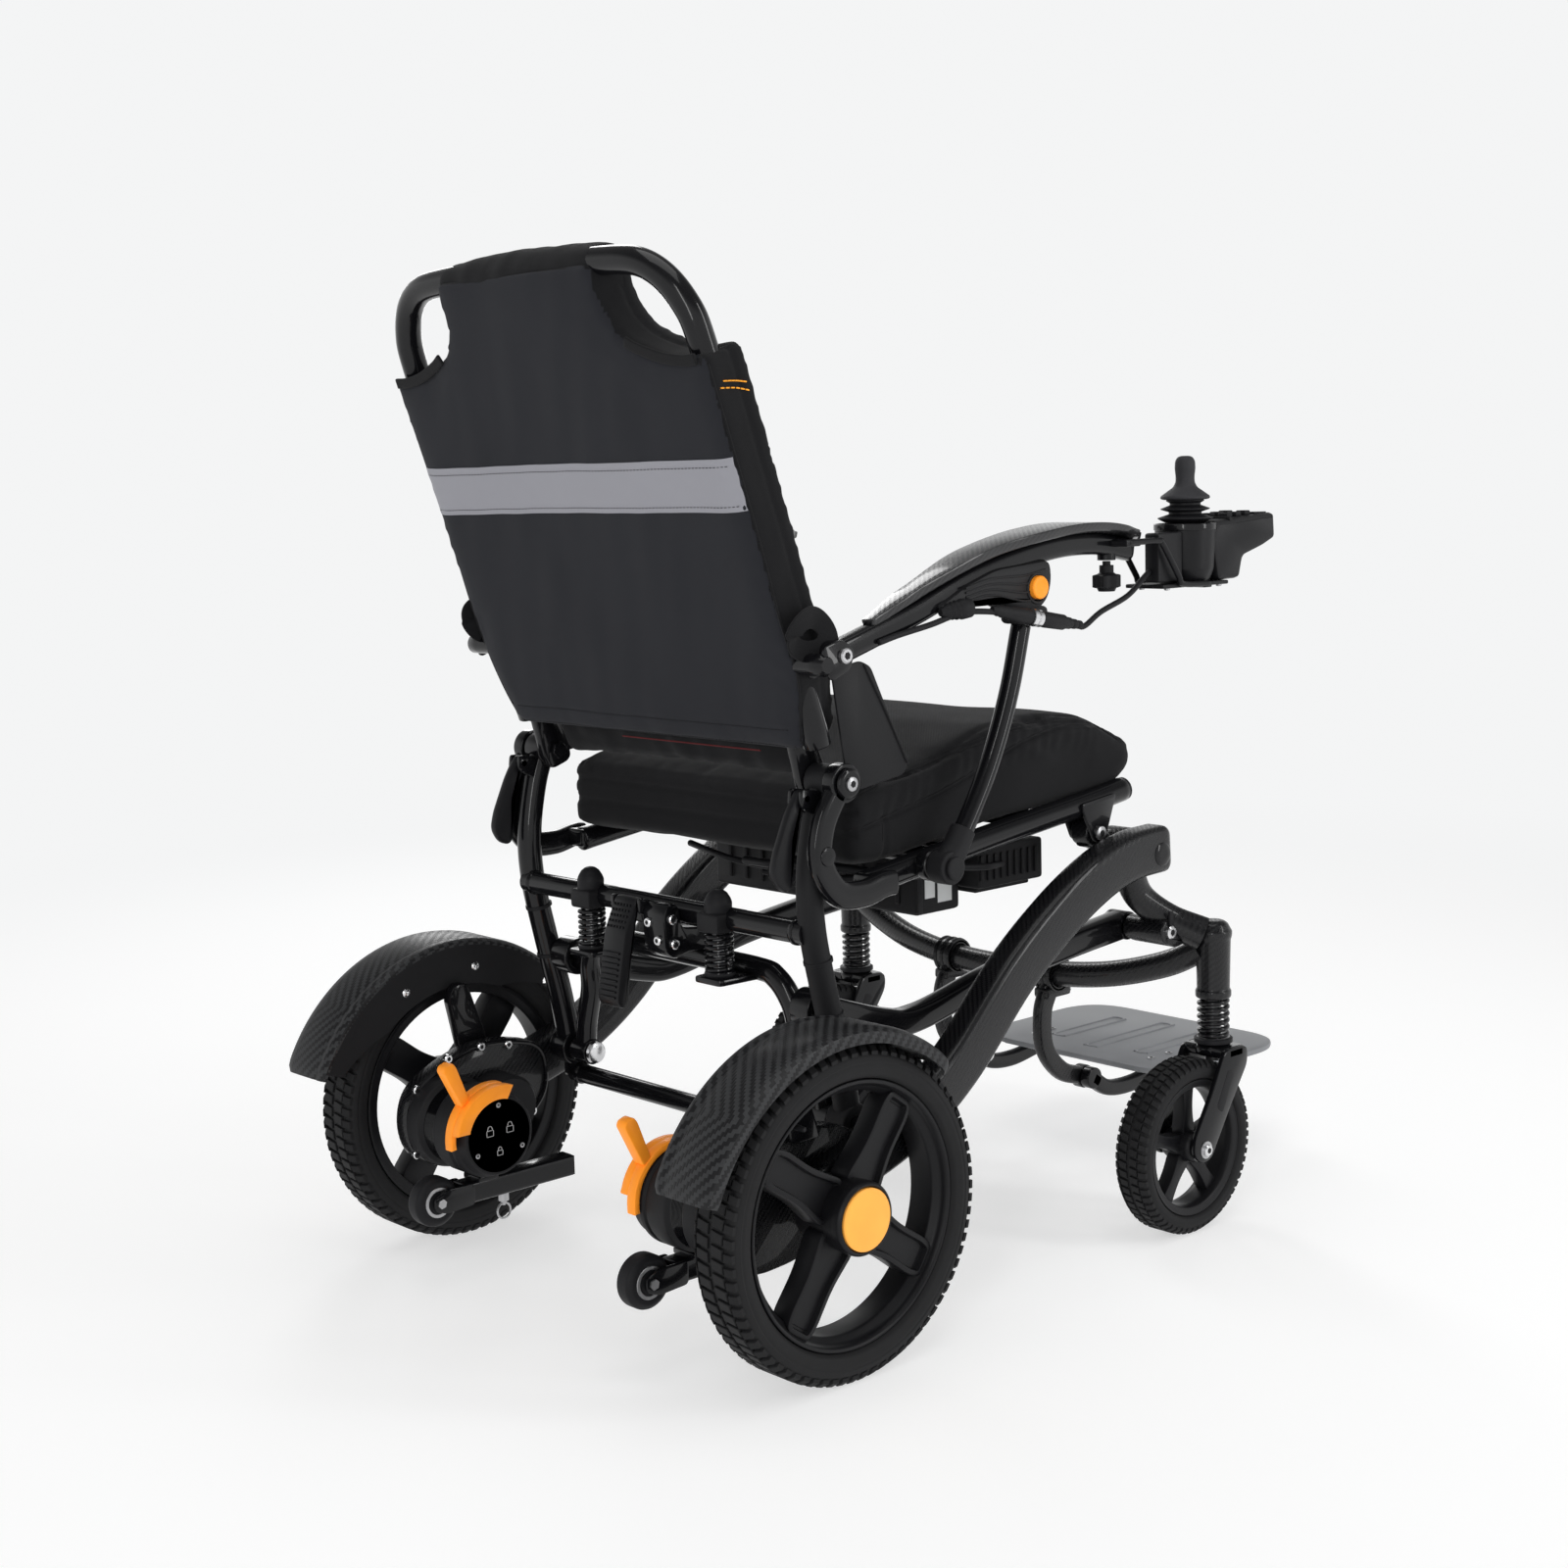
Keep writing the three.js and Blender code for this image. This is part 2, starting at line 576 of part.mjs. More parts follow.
function rearFrame() {
  let frame = join(
    barX(upperTube, -frameX, frameX, 11),
    barX([rearPivot[0] - 6, rearPivot[1] - 29], -frameX, frameX, 10),
  );
  for (const [, side] of sides) {
    const x = side * frameX;
    const upright = sweep(roundSection(tubeR), inPlane(x, uprightPath), 8);
    const half = tubeR;
    const foot = barX(rearPivot, x - half, x + half, 18);
    const [footY, footZ] = rearPivot;
    const link = block(x - 10, x + 10, footY - 14, footY + 2, footZ - 34, footZ - 8);
    const top = barX(backPivot, x - half, x + half);
    const pin = barX(backPivot, side * (frameX - tubeR - 13), side * (hookOuter + 1), 5);
    const outerHead = barX(backPivot, side * (hookOuter + 1), side * (hookOuter + 6));
    const innerHead = barX(backPivot, side * (frameX - tubeR - 17), side * (frameX - tubeR - 12.9), 9);
    const socket = block(side * (earX - 15), side * (earX + 15), earY - 26, earY + 15, 367, 386);
    const cap = turnZ([side * earX, earY], [[384, 0], [384, 13], [396, 13], [404, 9], [408, 0]], 16);
    const lugOutline = [[-62, 508], [-36, 512], [-34, 496], [-58, 484]];
    const lug = (at) => plateX(lugOutline, side * (frameX + at - 2), side * (frameX + at + 2));
    const lugPin = barX([-42, 503], side * (frameX - 8), side * (frameX + 8), 3);
    const bore = barX(rearPivot, x - 30, x + 30, 8 + pinGap);
    frame = join(frame, upright, foot, link, top, pin, outerHead, innerHead);
    frame = cut(join(frame, socket, cap, lug(-7), lug(7), lugPin), bore);
  }
  return frame;
}

const latchSpring = (side) => helix([side * earX, earY], 325.4, springTop, 12, 2.2, 6);

function releasePaddle(side) {
  const paddle = plateX([
    [-46, 510], [-38, 511], [-24, 490], [-8, 455], [-4, 438],
    [-12, 424], [-24, 420], [-29, 430], [-29, 468], [-45, 495],
  ], side * (frameX - 4.5), side * (frameX + 4.5));
  return cut(paddle, barX([-42, 503], side * (frameX - 10), side * (frameX + 10), 3 + pinGap));
}

// ---- seat ----
const railPath = [[-118, 414], [-200, 425], [-300, 438], [-421, 452], [-490, 461]];
const strutFoot = [-188, 425];

function seatFrame() {
  let frame = join(
    bar([-frameX, -215, 427], [frameX, -215, 427], 9),
    bar([-frameX, -360, 445], [frameX, -360, 445], 9),
  );
  for (const [, side] of sides) {
    const x = side * frameX;
    const rail = sweep(roundSection(tubeR), inPlane(x, railPath), 6);
    const hook = sweep(boxSection(hookOuter - hookInner, 24, 6), inPlane(side * (hookInner + hookOuter) / 2, [
      [-128, 417], [-96, 411], [-66, 416], [-46, 445], [-50, 480], backPivot,
    ]), 8);
    const bridge = block(side * (frameX - 8), side * (hookOuter - 2), -140, -112, 406, 425);
    const eye = barX(backPivot, side * hookInner, side * hookOuter, openEye + 6);
    const eyeBore = barX(backPivot, side * (hookInner - 1), side * (hookOuter + 1), openEye);
    const cheek = (at) => plateX([
      [-462, 462], [-408, 456], [-421, 428], [-427, 415], [-443, 415], [-449, 428],
    ], side * (frameX + at), side * (frameX + at + 4));
    const pin = barX(seatPivot, side * (frameX - 15), side * (frameX + 15), 6);
    const footPin = barX(strutFoot, x, side * (armX + 11), 6);
    const footHead = barX(strutFoot, side * (armX + 11), side * (armX + 15), 11);
    frame = join(frame, rail, bridge, cut(join(hook, eye), eyeBore));
    frame = join(frame, cheek(-16), cheek(12), pin, footPin, footHead);
  }
  return frame;
}

function seatCushion() {
  const shape = new THREE.Shape();
  shape.moveTo(-100, 441);
  shape.lineTo(-100, 488);
  shape.quadraticCurveTo(-102, 508, -130, 508);
  shape.bezierCurveTo(-220, 512, -270, 542, -350, 546);
  shape.bezierCurveTo(-430, 550, -508, 532, -508, 497);
  shape.quadraticCurveTo(-508, 477, -478, 476);
  const edge = 8;
  const settings = {
    depth: 2 * (seatHalfWidth - edge),
    bevelSize: edge,
    bevelThickness: edge,
    bevelOffset: -edge,
    bevelSegments: 1,
    curveSegments: 6,
  };
  const geometry = new THREE.ExtrudeGeometry(shape, settings);
  const axes = [[0, 1, 0], [0, 0, 1], [1, 0, 0]].map((axis) => new THREE.Vector3(...axis));
  geometry.applyMatrix4(new THREE.Matrix4().makeBasis(...axes));
  return toSolid(geometry.translate(-seatHalfWidth + edge, 0, 0));
}

const battery = () => join(block(-150, 150, -312, -250, 356, 414), block(-120, 120, -300, -262, 413, 419));
const controlUnit = () => join(block(-172, -20, -412, -316, 374, 418), block(-160, -32, -404, -324, 370, 375));

// ---- backrest ----
const recline = Math.atan2(122, 355);
const backStart = 36;          // distance from the hinge to the tube's end
const backTo = (along, forward = 0) => [
  backPivot[0] + along * Math.sin(recline) - forward * Math.cos(recline),
  backPivot[1] + along * Math.cos(recline) + forward * Math.sin(recline),
];
const backX = frameX + 4;
const topBend = 85;
const armPivotAlong = 118;

function backTube(radius) {
  const top = backStart + backHeight;
  const side = (s) => onSide(s, [
    [backX, ...backTo(backStart)],
    [backX, ...backTo(backStart + backHeight * 0.5)],
    [backX, ...backTo(top - 10)],
    [backX - topBend * 0.1, ...backTo(top + topBend * 0.5)],
    [backX - topBend * 0.5, ...backTo(top + topBend * 0.9)],
  ]);
  const crossing = backTo(top + topBend);
  const crossX = backX - topBend * 1.2;
  const bridge = [[crossX, ...crossing], [0, ...crossing], [-crossX, ...crossing]];
  return sweep(roundSection(radius), [...side(1), ...bridge, ...side(-1).reverse()], 26);
}

const armPivot = backTo(armPivotAlong, 16);

function backrestFrame() {
  let frame = backTube(tubeR);
  for (const [, side] of sides) {
    const plate = plateX([
      backTo(-16, -12), backTo(-16, 12), backTo(0, 16), backTo(52, 12), backTo(52, -12), backTo(0, -16),
    ], side * (frameX - tubeR - 1 - 10), side * (frameX - tubeR - 1));
    const root = bar([side * (frameX - tubeR - 9), ...backTo(48)], [side * backX, ...backTo(48)], 10, 14);
    const bore = barX(backPivot, side * (frameX - 60), side * (frameX + 60), 5 + openGap);
    const ear = (at) => plateX([
      backTo(armPivotAlong - 16, -6), backTo(armPivotAlong - 14, 20), backTo(armPivotAlong, 30),
      backTo(armPivotAlong + 14, 20), backTo(armPivotAlong + 16, -6),
    ], side * (armX + at), side * (armX + at + 4.5));
    const spigotEnd = [side * (armX + 14), ...backTo(armPivotAlong, -16)];
    const spigot = bar([side * backX, ...backTo(armPivotAlong, -4)], spigotEnd, 9);
    const pin = barX(armPivot, side * (armX - 12), side * (armX + 12), 5);
    const [plateLow, plateHigh] = [armPivotAlong - 16, armPivotAlong + 16];
    const backPlate = plateX([
      backTo(plateLow, -20), backTo(plateLow, -4), backTo(plateHigh, -4), backTo(plateHigh, -20),
    ], side * (armX - 15), side * (armX + 14));
    frame = join(frame, cut(plate, bore), root, ear(-15), ear(10.5), spigot, pin, backPlate);
  }
  return frame;
}

function backrestCover() {
  const top = backStart + backHeight;
  const crown = top + topBend + tubeR + 1;
  const half = backHalfWidth;
  const outline = new THREE.Shape();
  outline.moveTo(-half + 4, 28);
  outline.lineTo(half - 4, 28);
  outline.lineTo(half, 110);
  outline.lineTo(half, top - 22);
  outline.bezierCurveTo(half - 60, top - 34, 128, top - 6, 122, crown - 20);
  outline.lineTo(116, crown);
  outline.lineTo(-116, crown);
  outline.lineTo(-122, crown - 20);
  outline.bezierCurveTo(-128, top - 6, -half + 60, top - 34, -half, top - 22);
  outline.lineTo(-half, 110);
  const settings = {
    depth: 40,
    bevelSize: 6,
    bevelThickness: 8,
    bevelOffset: -6,
    bevelSegments: 1,
    curveSegments: 4,
  };
  const geometry = new THREE.ExtrudeGeometry(outline, settings);
  const along = new THREE.Vector3(0, Math.sin(recline), Math.cos(recline));
  const forward = new THREE.Vector3(0, -Math.cos(recline), Math.sin(recline));
  const across = new THREE.Vector3().crossVectors(along, forward);
  geometry.translate(0, 0, -12);
  geometry.applyMatrix4(new THREE.Matrix4().makeBasis(across, along, forward));
  geometry.translate(0, ...backPivot);
  const [roomLow, roomHigh] = [armPivotAlong - 20, armPivotAlong + 20];
  const armRoom = (side) => plateX([
    backTo(roomLow, -30), backTo(roomLow, 60), backTo(roomHigh, 60), backTo(roomHigh, -30),
  ], side * (backX - 1), side * (half + 20));
  const hingeRoom = (side) => block(
    side * (frameX - tubeR - 18),
    side * (half + 20),
    backPivot[0] - 60,
    backPivot[0] + 60,
    backPivot[1] - 20,
    backPivot[1] + 60,
  );
  const rooms = [armRoom(1), armRoom(-1), hingeRoom(1), hingeRoom(-1)];
  return cut(toSolid(geometry), backTube(tubeR + 2), ...rooms);
}

// ---- armrests ----
const raised = (points) => points.map(([y, z]) => [y, z + armRise]);
const armPath = [armPivot, ...raised([[-150, 662], [-235, 692], [-330, 712], [-400, 715], [-452, 707]])];
const lockCentre = [-302, 674 + armRise];

function armrest(side) {
  const x = side * armX;
  const arm = sweep(boxSection(20, 22, 8), inPlane(x, armPath), 9);
  const eye = barX(armPivot, side * (armX - 8), side * (armX + 8));
  const bore = barX(armPivot, side * (armX - 20), side * (armX + 20), 5 + pinGap);
  const housing = plateX(raised([
    [-354, 704], [-350, 678], [-330, 656], [-284, 654], [-252, 672], [-248, 694],
  ]), side * (armX - 16), side * (armX + 16));
  const slot = block(side * (armX - 6), side * (armX + 6), -332, -272, 640 + armRise, 690 + armRise);
  const buttonAt = [lockCentre[0], lockCentre[1] + 4];
  const recess = barX(buttonAt, side * (armX + 10), side * (armX + 20), 11 + 2 * pinGap);
  return cut(join(arm, eye, housing), bore, slot, recess);
}

function armPad(side) {
  const band = [];
  const ridge = raised([[-178, 692], [-235, 710], [-330, 727], [-400, 729], [-462, 719]]);
  const curve = new THREE.SplineCurve(ridge.map(([y, z]) => new THREE.Vector2(y, z)));
  for (let i = 0; i <= 10; i += 1) band.push(curve.getPoint(i / 10));
  const under = band.map((point) => [point.x, point.y - 3]).reverse();
  const over = band.map((point) => [point.x, point.y + 9]);
  const slab = plateX([...over, ...under], side * (armX - 30), side * (armX + 30));
  const leaf = new THREE.Shape();
  leaf.moveTo(-9, -180);
  leaf.bezierCurveTo(-12, -240, -29, -280, -29, -350);
  leaf.bezierCurveTo(-29, -420, -26, -462, 0, -462);
  leaf.bezierCurveTo(26, -462, 29, -420, 29, -350);
  leaf.bezierCurveTo(29, -280, 12, -240, 9, -180);
  const geometry = new THREE.ExtrudeGeometry(leaf, { depth: 160, bevelEnabled: false, curveSegments: 7 });
  const column = toSolid(geometry.translate(side * armX, 0, 640 + armRise));
  const roomSection = boxSection(20 + 2 * faceGap, 22 + 2 * faceGap, 8);
  const armRoom = sweep(roomSection, inPlane(side * armX, armPath), 9);
  return cut(slab.intersect(column), armRoom);
}

function lockButton(side) {
  return turnX([lockCentre[0], lockCentre[1] + 4], [
    [armX + 13.5, 0], [armX + 13.5, 11], [armX + 19, 11], [armX + 21, 8], [armX + 21, 0],
  ], side, 16);
}

function armStrut(side) {
  const x = side * armX;
  const tube = sweep(roundSection(10), inPlane(x, [
    strutFoot, [-222, 470], [-252, 520], [-278, 580], [-296, 642 + armRise],
  ]), 7);
  const tongue = plateX(raised([[-304, 640], [-288, 640], [-292, 674], [-308, 674]]), x - 4, x + 4);
  const foot = barX(strutFoot, x - 10, x + 10);
  const bore = barX(strutFoot, x - 12, x + 12, 6 + pinGap);
  return cut(join(tube, tongue, foot), bore);
}

// ---- drive controller on the right armrest ----
const stickAt = [-armX, -546];
const podTop = 732 + armRise;
const podBottom = 672 + armRise;

function controller() {
  const [x, y] = stickAt;
  const pod = turnZ([x, y], [
    [podBottom, 0], [podBottom, 22], [podBottom + 12, 28], [podTop - 8, 31], [podTop, 29], [podTop, 16.5],
    [podTop - 18, 16.5], [podTop - 18, 0],
  ], 20);
  const nose = plateX([
    [y - 20, podTop - 22], [y - 20, podTop - 2], [y - 108, podTop + 2],
    [y - 112, podTop - 10], [y - 70, podTop - 30],
  ], x - 26, x + 26);
  const noseRoom = bar([x, y, podTop - 18], [x, y, podTop + 30], 22, 24);
  const rod = (across) => sweep(roundSection(4, 6), [
    [x + across, y + 26, podTop - 40], [x + across, y + 50, podTop - 37],
    [x + across, y + 78, podTop - 43], [x + across, y + 104, podTop - 43],
  ], 8);
  const bridge = block(x - 19, x + 19, y + 20, y + 30, podTop - 48, podTop - 32);
  const shoe = block(x - 19, x + 19, y + 92, y + 134, podTop - 48, podTop - 39);
  const knobBore = bar([x, y + 124, podTop - 60], [x, y + 124, podTop - 20], 4 + pinGap);
  return cut(join(pod, cut(nose, noseRoom), rod(-15), rod(15), bridge, shoe), knobBore);
}

const clampKnob = () => turnZ([stickAt[0], stickAt[1] + 124], [
  [podTop - 72, 0], [podTop - 72, 11], [podTop - 62, 12],
  [podTop - 57, 6], [podTop - 48.6, 6], [podTop - 48.6, 4],
  [podTop - 38, 4], [podTop - 38, 0],
], 12);

const gimbal = () => turnZ(stickAt, [
  [podTop - 14.5, 0], [podTop - 14.5, 9], [podTop - 9.5, 9], [podTop - 9.5, 0],
], 12);

const joystickBoot = () => turnZ(stickAt, [
  [podTop + faceGap, 8], [podTop + faceGap, 25], [podTop + 7, 26],
  [podTop + 9, 18], [podTop + 15, 19], [podTop + 17, 13],
  [podTop + 24, 13], [podTop + 26, 8], [podTop + faceGap, 8],
]);

const joystick = () => turnZ(stickAt, [
  [podTop - 8, 0], [podTop - 8, 4], [podTop + 28, 4], [podTop + 30, 10], [podTop + 38, 10], [podTop + 52, 7],
  [podTop + 60, 10], [podTop + 67, 9], [podTop + 70, 0],
], 16);

function controllerLead() {
  const [x] = stickAt;
  return sweep(roundSection(3), [
    [x - 8, -522, podTop - 64], [x - 10, -500, podTop - 92], [x - 14, -460, podTop - 104],
    [x - 20, -400, podTop - 98], [x - 23, -340, podTop - 84], [x - 23, -290, podTop - 86],
    [x - 20, -235, podTop - 76], [x - 14, -180, podTop - 88], [x - 13, -150, podTop - 98],
  ], 22);
}

// ---- placing ----
for (const [name, side] of sides) {
  place(`side_beam_${name}`, sideBeam(side), 'carbon');
  place(`motor_${name}`, motor(side), 'plastic');
  place(`fender_${name}`, fender(side), 'carbon');
  place(`anti_tip_arm_${name}`, antiTipArm(side), 'gloss');
  place(`anti_tip_wheel_${name}`, antiTipWheel(side), 'rubber');
  place(`clutch_lever_${name}`, clutchLever(side), 'orange');
  place(`rear_rim_${name}`, rearRim(side), 'plastic');
  place(`rear_tyre_${name}`, rearTyre(side), 'rubber');
  place(`caster_spring_${name}`, casterSpring(side), 'gloss');
  place(`caster_stem_${name}`, casterStemPiece(side), 'steel');
  place(`caster_fork_${name}`, casterFork(side), 'gloss');
  place(`caster_rim_${name}`, casterRim(side), 'plastic');
  place(`caster_tyre_${name}`, casterTyre(side), 'rubber');
  place(`footrest_hanger_${name}`, footrestHanger(side), 'carbon');
  place(`lower_link_${name}`, lowerLink(side), 'gloss');
  place(`latch_spring_${name}`, latchSpring(side), 'gloss');
  place(`release_paddle_${name}`, releasePaddle(side), 'plastic');
  place(`armrest_${name}`, armrest(side), 'carbon');
  place(`arm_pad_${name}`, armPad(side), 'carbon');
  place(`arm_strut_${name}`, armStrut(side), 'gloss');
  place(`lock_button_${name}`, lockButton(side), 'orange');
}
place('front_frame', frontFrame(), 'carbon');
place('footplate', footplate(), 'alloy');
place('latch_hoop', latchHoop(), 'gloss');
place('latch_block', latchBlock(), 'gloss');
place('fold_pedal', foldPedal(), 'plastic');
place('rear_frame', rearFrame(), 'gloss');
place('seat_frame', seatFrame(), 'gloss');
place('seat_cushion', seatCushion(), 'fabric');
place('battery', battery(), 'plastic');
place('control_unit', controlUnit(), 'plastic');
place('backrest_frame', backrestFrame(), 'gloss');
place('backrest_cover', backrestCover(), 'fabric');
place('controller', controller(), 'plastic');
place('clamp_knob', clampKnob(), 'plastic');
place('joystick_gimbal', gimbal(), 'steel');
place('joystick_boot', joystickBoot(), 'rubber');
place('joystick', joystick(), 'plastic');
place('controller_lead', controllerLead(), 'rubber');

// The origin lies on the floor under the middle of the chair's box.
const box = new THREE.Box3().setFromObject(chair);
chair.position.y = -(box.min.y + box.max.y) / 2;
export default chair;
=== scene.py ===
import json
import math
import bmesh
import bpy
from mathutils import Matrix, Vector, noise
from mathutils.bvhtree import BVHTree


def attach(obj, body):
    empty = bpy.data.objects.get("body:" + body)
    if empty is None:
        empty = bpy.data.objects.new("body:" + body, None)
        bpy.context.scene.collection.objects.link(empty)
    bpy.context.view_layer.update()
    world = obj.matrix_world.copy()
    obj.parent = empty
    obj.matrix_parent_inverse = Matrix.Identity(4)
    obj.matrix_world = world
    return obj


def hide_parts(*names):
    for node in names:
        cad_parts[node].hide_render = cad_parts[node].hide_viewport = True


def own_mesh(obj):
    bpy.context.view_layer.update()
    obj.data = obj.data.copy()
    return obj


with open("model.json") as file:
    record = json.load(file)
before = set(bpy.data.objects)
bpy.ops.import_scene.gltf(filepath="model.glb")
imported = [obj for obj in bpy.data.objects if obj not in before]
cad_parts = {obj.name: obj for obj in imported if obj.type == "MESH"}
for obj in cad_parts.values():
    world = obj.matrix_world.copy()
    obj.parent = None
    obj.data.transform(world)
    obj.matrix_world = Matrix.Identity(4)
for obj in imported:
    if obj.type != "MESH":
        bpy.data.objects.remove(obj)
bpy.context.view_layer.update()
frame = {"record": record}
scene = bpy.context.scene
mm = 0.001
jointAt = {j["name"]: Vector(j["pos_m"]) for j in frame["record"]["behaviour"]["joints"] if "pos_m" in j}
axleY = jointAt["rear_wheel_spin_left"].y
sides = (("left", 1), ("right", -1))
frameX = 212  # the uprights and seat rails, from the middle
acrossChair = Vector((1, 0, 0))


def spot(x, y, z):  # millimetres, with y counted from the rear axle, to the frame's metres
    return Vector((x * mm, axleY + y * mm, z * mm))


def local(at):  # back from metres to the millimetres that spot takes
    return (at.x / mm, (at.y - axleY) / mm, at.z / mm)


def pivot(joint):  # a joint's y and z in those millimetres
    at = jointAt[joint]
    return ((at.y - axleY) / mm, at.z / mm)


# camera, floor and lights
studio = {
    "eye": (-1714.6, 1341.4, 791.7), "azimuth": 227.761, "down": 7.687, "roll": -1.5, "lens": 53.087,
    "floorNear": 1.0, "floorFar": 3.2, "floorLit": 0.56, "floorOwn": 0.55, "sky": (0.905, 0.910, 0.913),
    "skyTop": 0.22,
}


def placeCamera():
    turn, down, roll = (math.radians(studio[k]) for k in ("azimuth", "down", "roll"))
    back = Vector((math.sin(turn) * math.cos(down), -math.cos(turn) * math.cos(down), math.sin(down)))
    right = (-back).cross(Vector((0, 0, 1))).normalized()
    up = back.cross(right)
    tilted = right * math.cos(roll) + up * math.sin(roll)
    upright = up * math.cos(roll) - right * math.sin(roll)
    data = bpy.data.cameras.new("camera")
    data.lens = studio["lens"]
    data.clip_end = 100
    eye = bpy.data.objects.new("camera", data)
    scene.collection.objects.link(eye)
    turned = Matrix((tilted, upright, back)).transposed().to_4x4()
    eye.matrix_world = Matrix.Translation(spot(*studio["eye"])) @ turned
    scene.camera = eye


placeCamera()
scene.view_settings.view_transform = "Standard"
print("camera placed")


# shader maths: a Wire is one output, and + - * / on it add Math nodes
class Wire:
    def __init__(self, finish, socket):
        self.finish = finish
        self.socket = socket

    def calc(self, operation, *values):
        return self.finish.node("ShaderNodeMath", {"operation": operation}, *values)

    def __add__(self, other): return self.calc("ADD", self, other)
    def __radd__(self, other): return self.calc("ADD", other, self)
    def __sub__(self, other): return self.calc("SUBTRACT", self, other)
    def __rsub__(self, other): return self.calc("SUBTRACT", other, self)
    def __mul__(self, other): return self.calc("MULTIPLY", self, other)
    def __rmul__(self, other): return self.calc("MULTIPLY", other, self)
    def __truediv__(self, other): return self.calc("DIVIDE", self, other)
    def __rtruediv__(self, other): return self.calc("DIVIDE", other, self)
    def __mod__(self, other): return self.calc("FLOORED_MODULO", self, other)
    def __lt__(self, other): return self.calc("LESS_THAN", self, other)
    def __gt__(self, other): return self.calc("GREATER_THAN", self, other)
    def floor(self): return self.calc("FLOOR", self)
    def abs(self): return self.calc("ABSOLUTE", self)
    def sin(self): return self.calc("SINE", self)
    def power(self, other): return self.calc("POWER", self, other)


class Finish:
    def __init__(self, name, slot, colour, roughness, metallic=0.0, coat=0.0, coatRoughness=0.1, sheen=0.0,
                 specular=0.5):
        self.material = bpy.data.materials.new(name)
        self.material.use_nodes = True
        self.tree = self.material.node_tree
        self.tree.nodes.clear()
        self.shader = self.tree.nodes.new("ShaderNodeBsdfPrincipled")
        out = self.tree.nodes.new("ShaderNodeOutputMaterial")
        self.tree.links.new(self.shader.outputs[0], out.inputs["Surface"])
        settings = {
            "Base Color": (*colour, 1), "Roughness": roughness, "Metallic": metallic, "Coat Weight": coat,
            "Coat Roughness": coatRoughness, "Sheen Weight": sheen, "Specular IOR Level": specular,
        }
        for socket, value in settings.items():
            self.shader.inputs[socket].default_value = value
        self.material.diffuse_color = (*colour, 1)

    def node(self, kind, settings={}, *values, out=0, **named):
        made = self.tree.nodes.new(kind)
        for key, value in settings.items():
            if key == "stops":
                self.fillRamp(made.color_ramp, value)
            else:
                setattr(made, key, value)
        for key, value in [*enumerate(values), *((name.replace("_", " "), value) for name, value in named.items())]:
            self.feed(made.inputs[key], value)
        return Wire(self, made.outputs[out])

    def fillRamp(self, ramp, stops):
        while len(ramp.elements) < len(stops):
            ramp.elements.new(1)
        for element, (place, colour) in zip(ramp.elements, stops):
            element.position = place
            element.color = (*colour, 1)

    def feed(self, socket, value):
        if isinstance(value, Wire):
            self.tree.links.new(value.socket, socket)
        else:
            socket.default_value = value

    def set(self, **wires):
        for name, wire in wires.items():
            self.feed(self.shader.inputs[name.replace("_", " ")], wire)
        return self

    def place(self):
        return self.node("ShaderNodeTexCoord", out="Object")

    def parts(self, vector):
        made = self.tree.nodes.new("ShaderNodeSeparateXYZ")
        self.feed(made.inputs[0], vector)
        return [Wire(self, made.outputs[i]) for i in range(3)]

    def noise(self, scale, detail=3.0, at=None, roughness=0.5):
        at = at or self.place()
        return self.node("ShaderNodeTexNoise", Vector=at, Scale=scale, Detail=detail, Roughness=roughness)

    def mix(self, share, first, second):  # two colours
        made = self.tree.nodes.new("ShaderNodeMix")
        made.data_type = "RGBA"
        self.feed(made.inputs[0], share)
        self.feed(made.inputs[6], first if isinstance(first, Wire) else (*first, 1))
        self.feed(made.inputs[7], second if isinstance(second, Wire) else (*second, 1))
        return Wire(self, made.outputs[2])

    def bump(self, height, strength, depth):
        return self.node("ShaderNodeBump", Height=height, Strength=strength, Distance=depth)

    # the two coordinates that lie in a surface, by the way it faces
    def flatPlace(self):
        x, y, z = self.parts(self.place())
        nx, ny, nz = (n.abs() for n in self.parts(self.node("ShaderNodeTexCoord", out="Normal")))
        facesX = (nx > ny) * (nx > nz)
        facesZ = (1 - facesX) * (nz > ny)
        u = y * facesX + x * (1 - facesX)
        v = y * facesZ + z * (1 - facesZ)
        return u, v


def paintedGloss():
    f = Finish("glossBlack", "gloss", (0.004, 0.004, 0.005), 0.2, coat=0.4, coatRoughness=0.03, specular=0.12)
    peel = f.noise(260, 2)
    smudge = f.noise(14, 4)
    f.set(Roughness=0.14 + smudge * 0.16, Base_Color=f.mix(smudge, (0.003, 0.003, 0.004), (0.007, 0.007, 0.008)))
    return f.set(Normal=f.bump(peel, 0.06, 0.0004)).material


def carbonTwill(name, tow, dull, sheenColour, roughness, coat, coatRoughness):
    f = Finish(name, "carbon", dull, roughness, coat=coat, coatRoughness=coatRoughness, specular=0.2)
    u, v = f.flatPlace()
    a = u / tow
    b = v / tow
    over = ((a.floor() + b.floor()) % 4) < 1.5
    tows = over * ((b % 1) - 0.5).abs() + (1 - over) * ((a % 1) - 0.5).abs()
    drift = f.noise(30, 3)
    # the tows that lie over are lighter: a painted sheen for their direction-dependent reflection, its strength
    # varied at random by drift
    f.set(Base_Color=f.mix(over * (0.55 + drift * 0.5), dull, sheenColour))
    f.set(Roughness=roughness + over * 0.14 + drift * 0.06)
    return f.set(Normal=f.bump(1 - tows * 1.6, 0.35, 0.0004)).material


